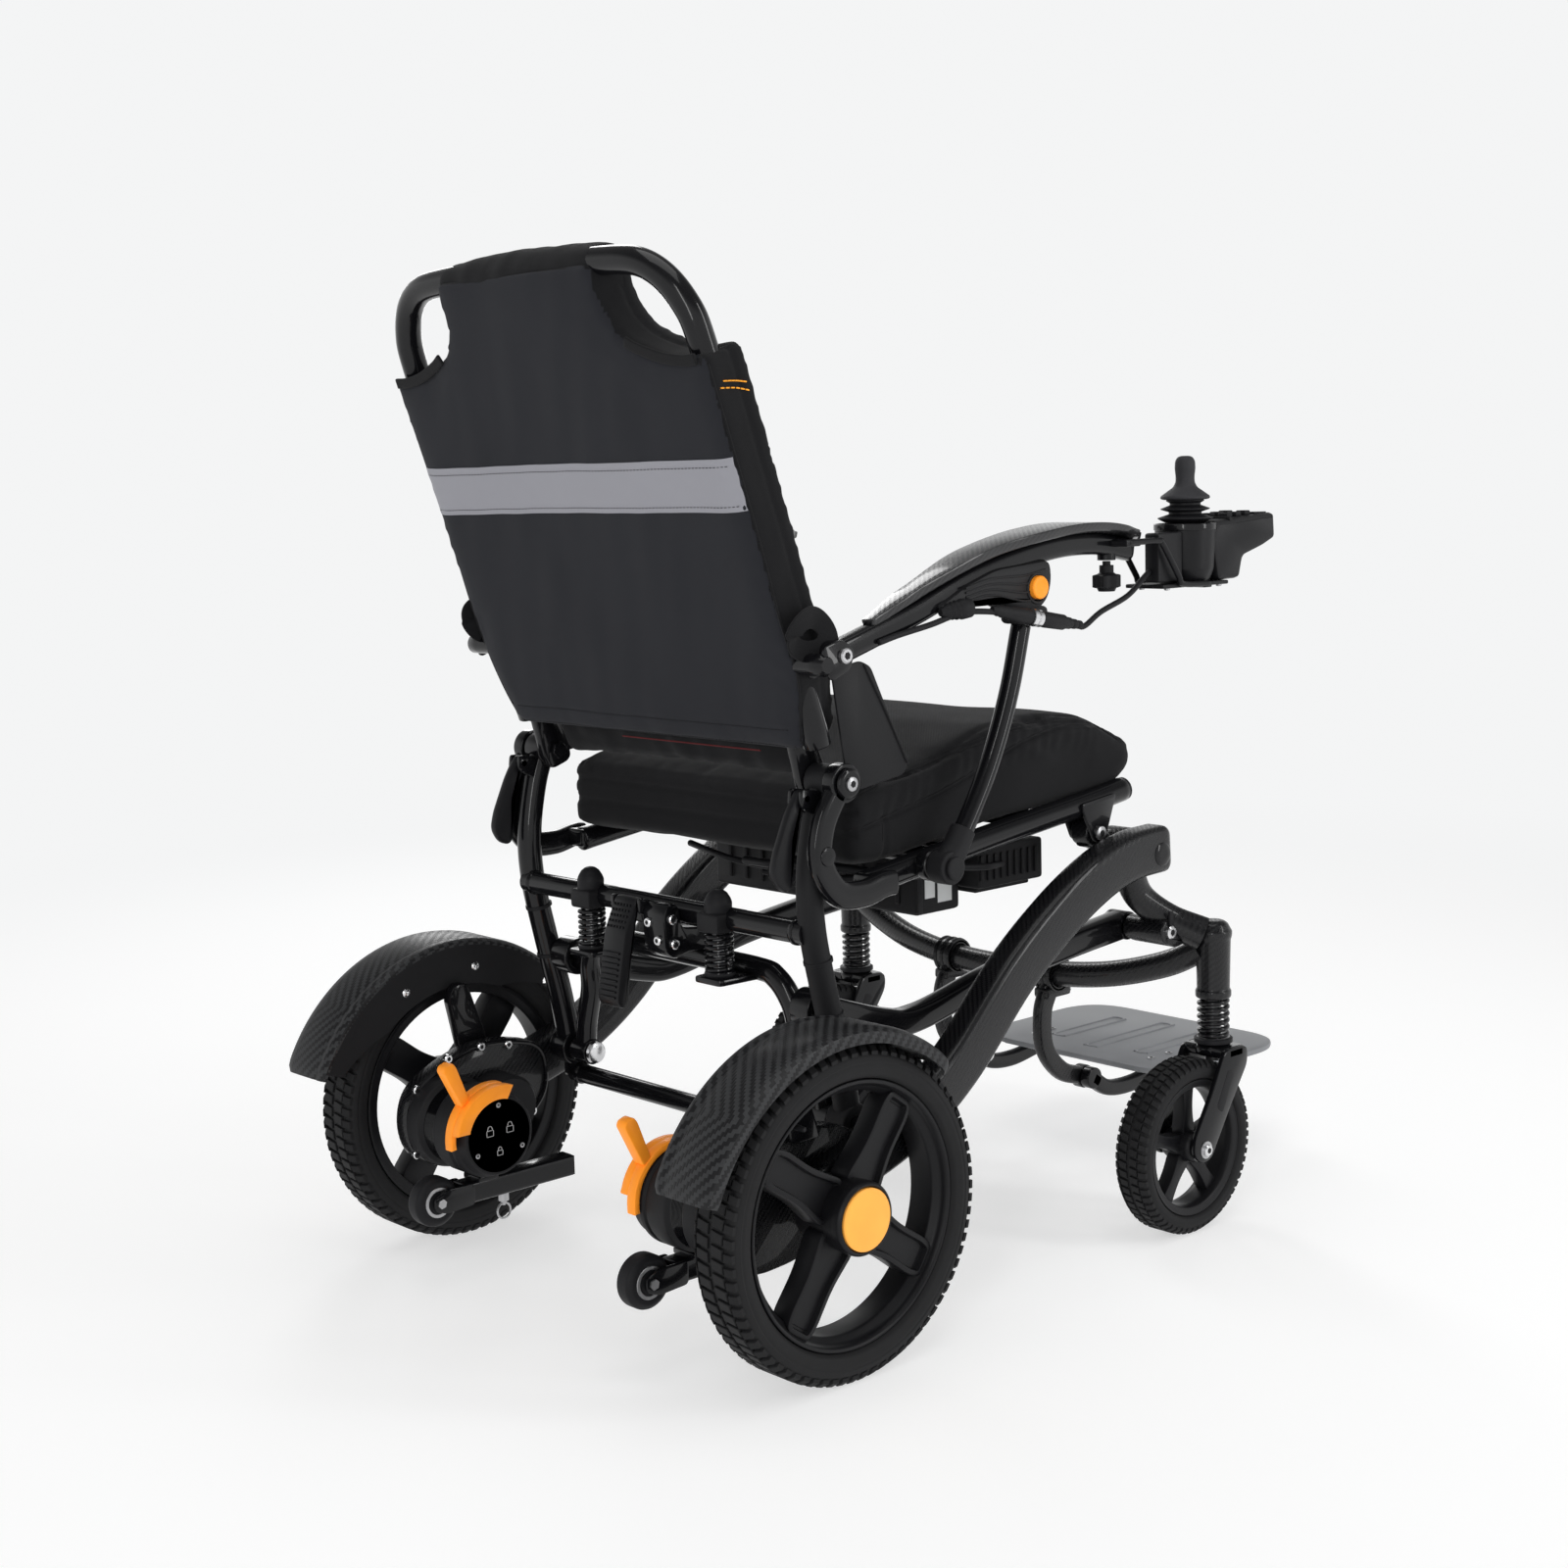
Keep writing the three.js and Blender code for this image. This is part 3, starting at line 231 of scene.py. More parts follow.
def mouldedPlastic(name, slot, colour, roughness, grain=900, depth=0.25):
    f = Finish(name, slot, colour, roughness, specular=0.22)
    fine = f.noise(grain, 2)
    broad = f.noise(22, 3)
    lighter = tuple(c * 1.6 + 0.002 for c in colour)
    f.set(Base_Color=f.mix(broad * 0.8, colour, lighter), Roughness=roughness - 0.08 + broad * 0.16)
    return f.set(Normal=f.bump(fine, depth, 0.0003)).material


def rubberFinish(name, slot, colour, roughness):
    f = Finish(name, slot, colour, roughness, specular=0.2)
    dust = f.noise(40, 5, roughness=0.65)
    fine = f.noise(700, 2)
    f.set(Base_Color=f.mix(dust, colour, tuple(c * 2.1 for c in colour)), Roughness=roughness + dust * 0.1)
    return f.set(Normal=f.bump(fine, 0.2, 0.0004)).material


def metalFinish(name, slot, colour, roughness, brushed=0.08):
    f = Finish(name, slot, colour, roughness, metallic=1.0)
    x, y, z = f.parts(f.place())
    lines = f.noise(420, 4, at=f.node("ShaderNodeCombineXYZ", {}, x * 0.1, y, z))
    f.set(Roughness=roughness + lines * brushed)
    return f.set(Normal=f.bump(lines, 0.08, 0.0002)).material


def wovenCloth(name, dark, light, thread, strength, roughness=0.9, sheen=0.06):
    f = Finish(name, "fabric", dark, roughness, sheen=sheen, specular=0.15)
    u, v = f.flatPlace()
    a = u / thread
    b = v / thread
    over = ((a.floor() + b.floor()) % 2) < 0.5
    rounded = over * ((a % 1) - 0.5).abs() + (1 - over) * ((b % 1) - 0.5).abs()
    slub = f.noise(60, 5, roughness=0.7)
    streak = f.noise(9, 4)
    shade = (0.35 * slub + 0.4 * streak + over * 0.25)
    f.set(Base_Color=f.mix(shade, dark, light), Roughness=roughness - 0.1 + slub * 0.2)
    return f.set(Normal=f.bump(0.75 - rounded + slub * 0.5, strength, 0.0006)).material


finish = {
    "gloss": paintedGloss(),
    "carbon": carbonTwill("glossCarbon", 0.0016, (0.004, 0.004, 0.005), (0.009, 0.009, 0.010), 0.24, 0.35, 0.05),
    "satinCarbon": carbonTwill("satinCarbon", 0.0030, (0.008, 0.008, 0.009), (0.040, 0.041, 0.043), 0.42, 0.12, 0.25),
    "plastic": mouldedPlastic("satinPlastic", "plastic", (0.005, 0.005, 0.006), 0.42),
    "matte": mouldedPlastic("mattPlastic", "plastic", (0.007, 0.007, 0.008), 0.6, 600, 0.35),
    "orange": mouldedPlastic("orangePlastic", "orange", (0.95, 0.30, 0.02), 0.38, 700, 0.12),
    "yellow": mouldedPlastic("capPlastic", "orange", (0.95, 0.42, 0.07), 0.42, 700, 0.15),
    "tyre": rubberFinish("tyreRubber", "tyre", (0.0075, 0.0075, 0.008), 0.6),
    "softRubber": rubberFinish("softRubber", "rubber", (0.006, 0.006, 0.007), 0.5),
    "chrome": metalFinish("brightSteel", "steel", (0.72, 0.72, 0.73), 0.16),
    "nickel": metalFinish("dullSteel", "steel", (0.46, 0.46, 0.47), 0.3, 0.15),
    "footGrey": mouldedPlastic("footplateGrey", "footplate", (0.20, 0.205, 0.215), 0.4, 500, 0.12),
    "backCloth": wovenCloth("backCloth", (0.013, 0.0135, 0.017), (0.025, 0.026, 0.031), 0.0009, 0.35),
    "seatCloth": wovenCloth("seatCloth", (0.005, 0.005, 0.006), (0.012, 0.012, 0.013), 0.0011, 0.45),
    "binding": wovenCloth("bindingTape", (0.006, 0.006, 0.007), (0.014, 0.014, 0.015), 0.0014, 0.5),
    "meshCloth": wovenCloth("meshCloth", (0.005, 0.005, 0.006), (0.016, 0.016, 0.018), 0.0026, 0.8),
    "reflective": wovenCloth("reflectiveBand", (0.27, 0.27, 0.30), (0.33, 0.33, 0.36), 0.0007, 0.15, 0.55, 0.05),
    "guard": mouldedPlastic("guardVinyl", "fabric", (0.006, 0.006, 0.007), 0.45, 500, 0.3),
    "satinHousing": mouldedPlastic("housingPlastic", "plastic", (0.011, 0.011, 0.012), 0.5, 700, 0.3),
    "armCarbon": carbonTwill("armCarbon", 0.0016, (0.008, 0.008, 0.009), (0.026, 0.026, 0.028), 0.3, 0.6, 0.1),
    "nickelBlack": mouldedPlastic("blackSteel", "gloss", (0.006, 0.006, 0.007), 0.28, 300, 0.1),
    "glass": mouldedPlastic("displayGlass", "gloss", (0.004, 0.004, 0.005), 0.12, 200, 0.02),
    "stickRubber": rubberFinish("stickRubber", "rubber", (0.020, 0.020, 0.022), 0.55),
    "orangeThread": mouldedPlastic("orangeThread", "orange", (0.90, 0.36, 0.03), 0.7),
    "darkThread": mouldedPlastic("darkThread", "fabric", (0.006, 0.006, 0.007), 0.7),
    "redPiping": mouldedPlastic("redPiping", "fabric", (0.07, 0.005, 0.006), 0.6),
    "label": mouldedPlastic("labelWhite", "plastic", (0.55, 0.56, 0.56), 0.5),
    "marks": mouldedPlastic("printedMarks", "plastic", (0.42, 0.42, 0.42), 0.6),
}
print("finishes made:", len(finish))


# curves and outlines, in millimetres
def through(points, count, closed=False):  # a smooth curve through the points
    points = [Vector(p) for p in points]
    last = len(points) if closed else len(points) - 1
    def corner(i):
        if closed:
            return points[i % len(points)]
        if i < 0:
            return points[0] * 2 - points[1]
        if i > len(points) - 1:
            return points[-1] * 2 - points[-2]
        return points[i]
    made = []
    for step in range(count + (0 if closed else 1)):
        t = last * step / count
        i = min(int(t), last - 1)
        t -= i
        a, b, c, d = (corner(i + k) for k in (-1, 0, 1, 2))
        bend = (2 * a - 5 * b + 4 * c - d) * t * t
        made.append(0.5 * (2 * b + (c - a) * t + bend + (3 * b - a - 3 * c + d) * t ** 3))
    return made


def softened(points, radius, closed=True, arc=4):  # every corner turned into a small arc
    points = [Vector(p) for p in points]
    made = []
    for i, at in enumerate(points):
        if not closed and i in (0, len(points) - 1):
            made.append(at)
            continue
        before = points[i - 1] - at
        after = points[(i + 1) % len(points)] - at
        reach = min(radius, before.length * 0.49, after.length * 0.49)
        start = at + before.normalized() * reach
        end = at + after.normalized() * reach
        for k in range(arc + 1):
            t = k / arc
            made.append(start * (1 - t) ** 2 + at * 2 * t * (1 - t) + end * t * t)
    return made


def roundSection(radius, count=20):
    return [Vector((radius * math.cos(2 * math.pi * i / count), radius * math.sin(2 * math.pi * i / count)))
            for i in range(count)]


def boxSection(width, height, corner):
    w, h = width / 2, height / 2
    return softened([(w, h), (-w, h), (-w, -h), (w, -h)], corner)


# one piece of the chair, built up from shapes; every length is in millimetres
class Piece:
    def __init__(self, name, body, main):
        self.name = name
        self.body = body
        self.bm = bmesh.new()
        self.materials = []
        self.use(main)

    def use(self, key):
        if key not in self.materials:
            self.materials.append(key)
        self.current = self.materials.index(key)
        return self

    def skin(self, rings, capStart=True, loop=False):
        rows = [[self.bm.verts.new(p) for p in ring] for ring in rings]
        pairs = list(zip(rows, rows[1:])) + ([(rows[-1], rows[0])] if loop else [])
        made = []
        for low, high in pairs:
            count = len(low)
            for i in range(count):
                j = (i + 1) % count
                made.append(self.bm.faces.new((low[i], low[j], high[j], high[i])))
        if not loop:
            if capStart:
                made.append(self.bm.faces.new(rows[0][::-1]))
            made.append(self.bm.faces.new(rows[-1]))
        for face in made:
            face.material_index = self.current
        return made

    # a section carried along a path of x, y, z points
    def sweep(self, points, section, count=40, side=acrossChair, scale=None, loop=False, endRound=0, straight=False):
        path = [Vector(p) for p in points] if straight else through(points, count, loop)
        rings = []
        u = Vector(side)
        total = len(path)
        for i, at in enumerate(path):
            if loop:
                tangent = (path[(i + 1) % total] - path[i - 1]).normalized()
            else:
                tangent = (path[min(i + 1, total - 1)] - path[max(i - 1, 0)]).normalized()
            u = (u - tangent * u.dot(tangent)).normalized()
            v = tangent.cross(u)
            wide, tall = scale(i / (total - 1)) if scale else (1, 1)
            rings.append((at, tangent, u, v, wide, tall))
        made = []
        def ring(at, u, v, wide, tall, shrink=1):
            return [spot(*(at + u * (p[0] * wide * shrink) + v * (p[1] * tall * shrink))) for p in section]
        if endRound and not loop:
            at, tangent, u, v, wide, tall = rings[0]
            for out, shrink in ((1, 0.72), (0.7, 0.87), (0.3, 0.97)):
                made.append(ring(at - tangent * endRound * out, u, v, wide, tall, shrink))
        made += [ring(at, u, v, wide, tall) for at, tangent, u, v, wide, tall in rings]
        if endRound and not loop:
            at, tangent, u, v, wide, tall = rings[-1]
            for out, shrink in ((0.3, 0.97), (0.7, 0.87), (1, 0.72)):
                made.append(ring(at + tangent * endRound * out, u, v, wide, tall, shrink))
        self.skin(made, loop=loop)
        return self

    # a profile of (along, radius) points turned about a line through centre
    def turn(self, centre, profile, axis=(1, 0, 0), count=48, closed=False):
        axis = Vector(axis).normalized()
        u = axis.orthogonal().normalized()
        v = axis.cross(u)
        centre = Vector(centre)
        rings = []
        for along, radius in profile:
            ring = []
            for i in range(count):
                turn = 2 * math.pi * i / count
                ring.append(spot(*(centre + axis * along + (u * math.cos(turn) + v * math.sin(turn)) * max(radius,
                        0.02))))
            rings.append(ring)
        self.skin(rings, loop=closed)
        return self

    # an outline of (y, z) points as a plate across the chair, with rounded rims
    def plate(self, outline, x1, x2, rim=1.5, hollow=None):
        points = [Vector((0, p[0], p[1])) for p in outline]
        return self.slab(points, Vector((min(x1, x2), 0, 0)), Vector((max(x1, x2), 0, 0)), rim, hollow)

    # a flat outline of x, y, z points pushed from one offset to another
    def slab(self, points, start, end, rim=1.5, hollow=None):
        middle = sum(points, Vector()) / len(points)
        push = (end - start).normalized()
        def shrunk(offset, by):
            ring = []
            total = len(points)
            for i, p in enumerate(points):
                along = (points[(i + 1) % total] - points[i - 1]).normalized()
                inward = push.cross(along).normalized()
                ring.append(p + inward * by + offset)
            return ring
        spokes = [p - middle for p in points]
        area = sum(a.cross(b).dot(push) for a, b in zip(spokes, spokes[1:] + spokes[:1]))
        sign = 1 if area > 0 else -1
        rim = min(rim, (end - start).length * 0.45)
        rings = [
            shrunk(start, sign * rim), shrunk(start + push * rim * 0.3, sign * rim * 0.3), shrunk(start + push * rim,
                    0),
            shrunk(end - push * rim, 0), shrunk(end - push * rim * 0.3, sign * rim * 0.3), shrunk(end, sign * rim),
        ]
        if hollow:
            inset, depth = hollow
            rings += [shrunk(end, sign * inset), shrunk(end - push * depth, sign * (inset + 1.5))]
        self.skin([[spot(*p) for p in ring] for ring in rings])
        return self

    def block(self, low, high, corner=2.0):
        x1, y1, z1 = low
        x2, y2, z2 = high
        outline = softened([(y1, z1), (y2, z1), (y2, z2), (y1, z2)], corner, True, 3)
        return self.plate(outline, x1, x2, corner * 0.7)

    # a cap screw with a hexagonal socket, its head standing out along axis
    def screw(self, at, axis, radius=4.5, height=3.5, key="chrome"):
        before = self.current
        self.use(key)
        self.turn(at, [(-1.5, radius), (height * 0.75, radius), (height, radius * 0.82)], axis, 20)
        self.use("matte")
        self.turn(at, [(height + 0.05, radius * 0.52), (height + 0.12, radius * 0.5)], axis, 6)
        self.current = before
        return self

    def stitches(self, path, count, length=2.6, width=0.7, lift=0.4, normal=(0, 1, 0), key="darkThread"):
        self.use(key)
        points = through(path, count * 4)
        normal = Vector(normal)
        for k in range(count):
            a, b = points[4 * k], points[4 * k + 2]
            along = (b - a).normalized()
            a, b = a + normal * lift, a + along * length + normal * lift
            self.sweep([a, (a + b) / 2 + normal * 0.25, b], roundSection(width / 2, 6), 4, side=normal)
        return self

    def done(self, replaces=(), angle=38):
        bmesh.ops.recalc_face_normals(self.bm, faces=self.bm.faces)
        mesh = bpy.data.meshes.new(self.name)
        self.bm.to_mesh(mesh)
        self.bm.free()
        for key in self.materials:
            mesh.materials.append(finish[key])
        for polygon in mesh.polygons:
            polygon.use_smooth = True
        mesh.set_sharp_from_angle(angle=math.radians(angle))
        made = bpy.data.objects.new(self.name, mesh)
        scene.collection.objects.link(made)
        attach(made, self.body)
        if replaces:
            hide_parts(*replaces)
        return made


def inPlane(x, points):
    return [(x, y, z) for y, z in points]


def makeStudio():
    bm = bmesh.new()
    for x, y in ((-40, -40), (40, -40), (40, 40), (-40, 40)):
        bm.verts.new((x, y, 0))
    bm.faces.new(bm.verts)
    mesh = bpy.data.meshes.new("floor")
    bm.to_mesh(mesh)
    bm.free()
    floor = bpy.data.objects.new("floor", mesh)
    scene.collection.objects.link(floor)
    pale = Finish("paleFloor", "floor", (0.5, 0.5, 0.5), 0.9, specular=0.0)
    x, y = pale.parts(pale.place())[:2]
    far = pale.node("ShaderNodeMapRange", {"interpolation_type": "SMOOTHSTEP"},
                    (x * x + y * y).power(0.5), studio["floorNear"], studio["floorFar"], 0.0, 1.0)
    lit, own, sky = studio["floorLit"], studio["floorOwn"], studio["sky"]
    pale.set(Base_Color=pale.mix(far, (lit,) * 3, (0.0,) * 3))
    pale.set(Emission_Color=pale.mix(far, (own,) * 3, sky))
    pale.shader.inputs["Emission Strength"].default_value = 1
    mesh.materials.append(pale.material)
    world = bpy.data.worlds.new("sky")
    world.use_nodes = True
    tree = world.node_tree
    ground = tree.nodes["Background"]
    place = tree.nodes.new("ShaderNodeTexCoord")
    split = tree.nodes.new("ShaderNodeSeparateXYZ")
    ramp = tree.nodes.new("ShaderNodeValToRGB")
    tree.links.new(place.outputs["Generated"], split.inputs[0])
    tree.links.new(split.outputs[2], ramp.inputs[0])
    tree.links.new(ramp.outputs[0], ground.inputs[0])
    for element, (height, colour) in zip(ramp.color_ramp.elements, ((0.24, sky), (0.55, (studio["skyTop"],) * 3))):
        element.position = height
        element.color = (*colour, 1)
    scene.world = world
    lights = (
        ("overhead", (-300, 100, 3200), (0, -340, 300), (2.2, 2.2), 26),
        ("leftStrip", (-1900, 2300, 1500), (0, -200, 500), (0.3, 2.2), 18),
        ("rightStrip", (-2500, -1500, 1600), (0, -300, 500), (0.4, 2.4), 22),
        ("farStrip", (2300, -1500, 1900), (0, -300, 500), (0.7, 2.2), 22),
    )
    for name, at, aim, size, power in lights:
        data = bpy.data.lights.new(name, "AREA")
        data.shape = "RECTANGLE"
        data.size, data.size_y = size
        data.energy = power
        light = bpy.data.objects.new(name, data)
        scene.collection.objects.link(light)
        light.location = spot(*at)
        light.rotation_euler = (spot(*at) - spot(*aim)).to_track_quat("Z", "Y").to_euler()


makeStudio()
print("studio ready")


# side beams with their motor plates
beam = {
    "path": [(-494, 404), (-450, 401), (-400, 387), (-340, 356), (-273, 309), (-197, 238), (-130, 196), (-60, 172),
             (-20, 160)],
    "middle": 251, "plateInner": 227, "plateOuter": 247,
    "bolts": [(12, 212), (53, 207), (92, 182), (-22, 208), (96, 116), (-50, 131)],
}


def makeBeams():
    foldAt, rearAt = pivot("front_fold"), pivot("rear_frame_swing")
    section = softened([(17, 24), (-17, 24), (-17, -20), (-10, -24), (17, -24)], 9, True, 4)
    for name, side in sides:
        p = Piece(f"side_beam_cover_{name}", "chassis", "carbon")
        x = side * beam["middle"]
        facing = [(side * a, b) for a, b in section]
        p.sweep(inPlane(x, beam["path"]), facing, 60, endRound=9)
        outline = softened([
            (-75, 150), (-40, 118), (0, 96), (60, 92), (98, 112), (108, 147), (98, 182), (60, 203), (20, 216),
            (-25, 214), (-70, 202),
        ], 26, True, 6)
        p.plate(outline, side * beam["plateInner"], side * beam["plateOuter"], 3)
        p.use("gloss")
        # a raised ring on the inner face, as the casting has
        inner = [(y * 0.96, 150 + (z - 150) * 0.96) for y, z in outline]
        ring = [(side * (beam["plateInner"] - 0.4), y, z) for y, z in inner]
        p.sweep(ring, roundSection(2.6, 8), 90, side=(1, 0, 0), loop=True)
        for y, z in beam["bolts"]:
            p.screw((side * (beam["plateInner"] - 0.5), y, z), (-side, 0, 0), 4.6, 3.4)
        p.use("gloss")
        for at, x1, x2, r in ((foldAt, 194, 251, 8), (rearAt, 168, 251, 8)):
            p.turn((side * x1, *at), [(0, r), (x2 - x1, r)], (side, 0, 0), 24)
        p.use("chrome")
        p.turn((side * 188.5, *foldAt), [(0, 9), (1, 12), (4.5, 13), (4.6, 8)], (side, 0, 0), 32)
        p.turn((side * 164, *rearAt), [(0, 8), (1, 11), (4, 12), (4.1, 8)], (side, 0, 0), 32)
        # the fold bolt's cap on the outside of the beam
        p.use("gloss")
        p.turn((side * 268, *foldAt), [(-2, 12), (0.4, 12), (1.6, 10), (1.6, 5)], (side, 0, 0), 32)
        p.done([f"side_beam_{name}"])


# drive motors with their release levers
motor = {"radius": 45, "face": 226.6, "end": 130, "at": (60, 147)}


def makeMotors():
    y, z = motor["at"]
    for name, side in sides:
        p = Piece(f"motor_body_{name}", "chassis", "matte")
        face, end, r = motor["face"], motor["end"], motor["radius"]
        profile = softened([(face, 1), (face, r + 1), (face - 20, r + 1), (face - 24, r - 5), (face - 42, r - 5),
                            (face - 46, r),
                            (156, r), (155, r - 2), (152, r - 2), (151, r), (145, r), (141, r - 3), (end, r - 5),
                            (end, 1)], 1.6, False, 3)
        p.turn((0, y, z), [(side * a, b) for a, b in profile], count=72)
        p.turn((0, 0, 150), [(side * (face - 34), 1), (side * (face - 34), 31), (side * (face - 30), 34),
                             (side * face, 34), (side * face, 1)])
        p.turn((0, 0, 150), [(side * 196, 10), (side * 312, 10)], count=32)
        p.use("gloss")
        for k in range(10):  # cooling ribs in the waist
            at = 186 + k * 1.7
            p.turn((side * at, y, z), [(-0.45, r - 4.9), (-0.35, r - 3.6), (0.35, r - 3.6), (0.45, r - 4.9)],
                   count=64)
        p.use("matte")
        p.turn((side * end, y, z), [(0.2, r - 8), (0, r - 8)], count=40)
        p.use("marks")
        xFace = side * (end - 0.25)
        # three padlock outlines, printed on the end disc
        for dy, dz, s in ((-13, 6, 1), (11, 6, 1), (0, -16, 0.8)):
            body = [(xFace, y + dy + a * s, z + dz + b * s) for a, b in ((-4, -5), (4, -5), (4, 1), (-4, 1))]
            p.sweep(softened(body, 0.8), roundSection(0.35, 5), 24, loop=True, side=(1, 0, 0))
            bow = [(xFace, y + dy + 3 * s * math.cos(t), z + dz + (1 + 4.5 * math.sin(t)) * s) for t in (0, 0.8, 1.57,
                    2.3, 3.14)]
            p.sweep(bow, roundSection(0.35, 5), 12, side=(1, 0, 0))
        for k in range(3):
            turn = math.radians(90 + 120 * k)
            p.screw((side * (end + 0.2), y + 31 * math.cos(turn), z + 31 * math.sin(turn)), (-side, 0, 0), 2.6, 1.2,
                    "nickel")
        p.done([f"motor_{name}"])
        lever = Piece(f"clutch_release_{name}", f"clutch_{name}", "orange")
        low = beam["plateInner"] - 90
        rim = [(y + 52 * math.cos(math.radians(-8 + 5 * i)),
                z + 52 * math.sin(math.radians(-8 + 5 * i))) for i in range(23)]
        rim += [(y + 46.2 * math.cos(math.radians(102 - 5 * i)),
                 z + 46.2 * math.sin(math.radians(102 - 5 * i))) for i in range(23)]
        lever.plate(rim, side * low, side * (low + 12), 1.2)
        finger = softened([(90, 188), (99, 182), (119, 221), (117, 226), (108, 229), (104, 224)], 2.4)
        lip = [(y + 51.5 * math.cos(math.radians(10 + 5 * i)),
                z + 51.5 * math.sin(math.radians(10 + 5 * i))) for i in range(21)]
        lip += [(y + 37 * math.cos(math.radians(106 - 4.6 * i)),
                 z + 37 * math.sin(math.radians(106 - 4.6 * i))) for i in range(21)]
        lever.plate(lip, side * (motor["end"] - 3.2), side * (low + 1), 1.4)
        lever.plate(finger, side * (low - 3), side * (low + 11), 1.6, hollow=(2.6, 2.2))
        lever.done([f"clutch_lever_{name}"])


# fenders over the rear wheels
fender = {"inner": 258, "outer": 331, "radius": 164, "from": 16, "sweep": 117}


def fenderPoint(share):
    turn = math.radians(fender["from"] + fender["sweep"] * share)
    radius = fender["radius"] + 26 * (1 - share) ** 1.5
    return (radius * math.cos(turn), 150 + radius * math.sin(turn))


def makeFenders():
    half = (fender["outer"] - fender["inner"]) / 2
    middle = (fender["outer"] + fender["inner"]) / 2
    top = [(-half, -7), (-half, -4), (-half + 3, -1), (-half + 9, 0), (-half + 12, -1.4), (-half + 15, -1.4),
           (-half + 19, 0),
           (half - 14, 0.3), (half - 6, -1), (half - 1, -4), (half, -8), (half, -14), (half - 3, -14),
           (half - 3.4, -8),
           (half - 8, -4.5), (-half + 9, -4), (-half + 3, -7)]
    for name, side in sides:
        p = Piece(f"fender_shell_{name}", "chassis", "satinCarbon")
        rings = []
        steps = 64
        for i in range(steps + 1):
            share = i / steps
            y, z = fenderPoint(share)
            tip = min(1, min(share, 1 - share) * 26)
            lift = (1 - (1 - tip) ** 2) ** 0.5
            outward = Vector((0, y, z - 150)).normalized()
            rings.append([spot(*(Vector((side * (middle + a * (0.9 + 0.1 * lift)), y,
                                         z)) + outward * (b - 2.5 * (1 - lift)))) for a, b in top])
        p.skin(rings)
        # the flat black skirt behind the wheel
        p.use("matte")
        skirt = []
        for i in range(49):
            share = 0.02 + 0.96 * i / 48
            y, z = fenderPoint(share)
            outward = Vector((0, y, z - 150)).normalized()
            deep = 48 * min(1, 0.45 + 2.6 * min(share, 1 - share))
            x = side * fender["inner"]
            skirt.append([spot(*(Vector((x + side * s, y, z)) + outward * d)) for s, d in ((0.2, -4), (0.2, -deep),
                    (2.6, -deep), (2.6, -4))])
        p.skin(skirt)
        for share in (0.36, 0.66):
            y, z = fenderPoint(share)
            outward = Vector((0, y, z - 150)).normalized()
            at = Vector((side * (fender["inner"] + 0.3), y, z)) - outward * 30
            p.use("chrome").turn(at, [(-1, 4.6), (0.8, 4.6), (2.2, 3.2), (2.6, 0.5)], (-side, 0, 0), 24)
        bracket = softened([(-14, 207), (22, 207), (34, 262), (26, 276), (10, 276)], 6)
        p.use("gloss").plate(bracket, side * 247.6, side * 259, 1.5)
        p.done([f"fender_{name}"])


# anti-tip arms and rollers
def makeAntiTips():
    x0 = beam["plateInner"] - 62
    roller = pivot("anti_tip_roll_left")
    for name, side in sides:
        p = Piece(f"anti_tip_tube_{name}", "chassis", "gloss")
        x = side * x0
        p.sweep([(x, -48, 87), (x, 10, 87), (x, 88, 87)], boxSection(22, 22, 4), 12, endRound=1)
        p.use("matte").block((x - 10.5, -49.6, 77), (x + 10.5, -48.6, 97), 0.9)
        p.use("gloss").block((x - 14, 48, 96), (x + 14, 72, 102.2), 2)
        for at in (-15, 12):
            fork = softened([(78, 98), (78, 76), (112, 74), (126, 80), (126, 92), (112, 98)], 5)
            p.plate(fork, side * (x0 + at), side * (x0 + at + 3), 0.8)
            p.use("nickel").turn((side * (x0 + at + 1.5), *roller), [(-3.4, 5), (3.4, 5)], (1, 0, 0), 6).use("gloss")
        p.turn((side * (x0 - 13), *roller), [(0, 4), (26, 4)], (side, 0, 0), 20)
        # the locking pin and its pull ring
        p.use("nickel").turn((x, 34, 99), [(-2, 4), (6, 4), (7, 3)], (0, 0, -1), 20)
        p.turn((x, 34, 76), [(0, 5.5), (9, 5.5), (10, 3), (14, 2)], (0, 0, -1), 24)
        ring = [(x, 34 + 8 * math.cos(2 * math.pi * i / 12),
                 56 + 8 * math.sin(2 * math.pi * i / 12)) for i in range(12)]
        p.sweep(ring, roundSection(1.1, 8), 48, loop=True, side=(1, 0, 0))
        p.done([f"anti_tip_arm_{name}"])
        w = Piece(f"anti_tip_roller_tyre_{name}", f"anti_tip_roller_{name}", "softRubber")
        w.turn((x, *roller), softened([(-9.5, 14), (-10.5, 20), (-7, 25), (7, 25), (10.5, 20), (9.5, 14), (9.5, 5),
                                       (-9.5, 5)], 2.2), count=56, closed=True)
        w.use("nickel")
        for s in (-1, 1):
            w.turn((x + s * 9.4, *roller), [(0, 15.5), (s * 0.9, 15), (s * 0.9, 12), (0, 11.5)], count=40)
            w.use("matte").turn((x + s * 9.4, *roller), [(0, 10.6), (s * 0.6, 10.4), (s * 0.6, 4.6)],
                                count=32).use("nickel")
        w.done([f"anti_tip_wheel_{name}"])


# wheels: tyre tread, rims and spokes
rearWheel = {"x": 294, "radius": 150, "width": 50, "rim": 120, "blocks": 75, "spokeTurn": 0.62}
caster = {"radius": 91, "width": 40, "rim": 71, "blocks": 59, "spokeTurn": 0.3}


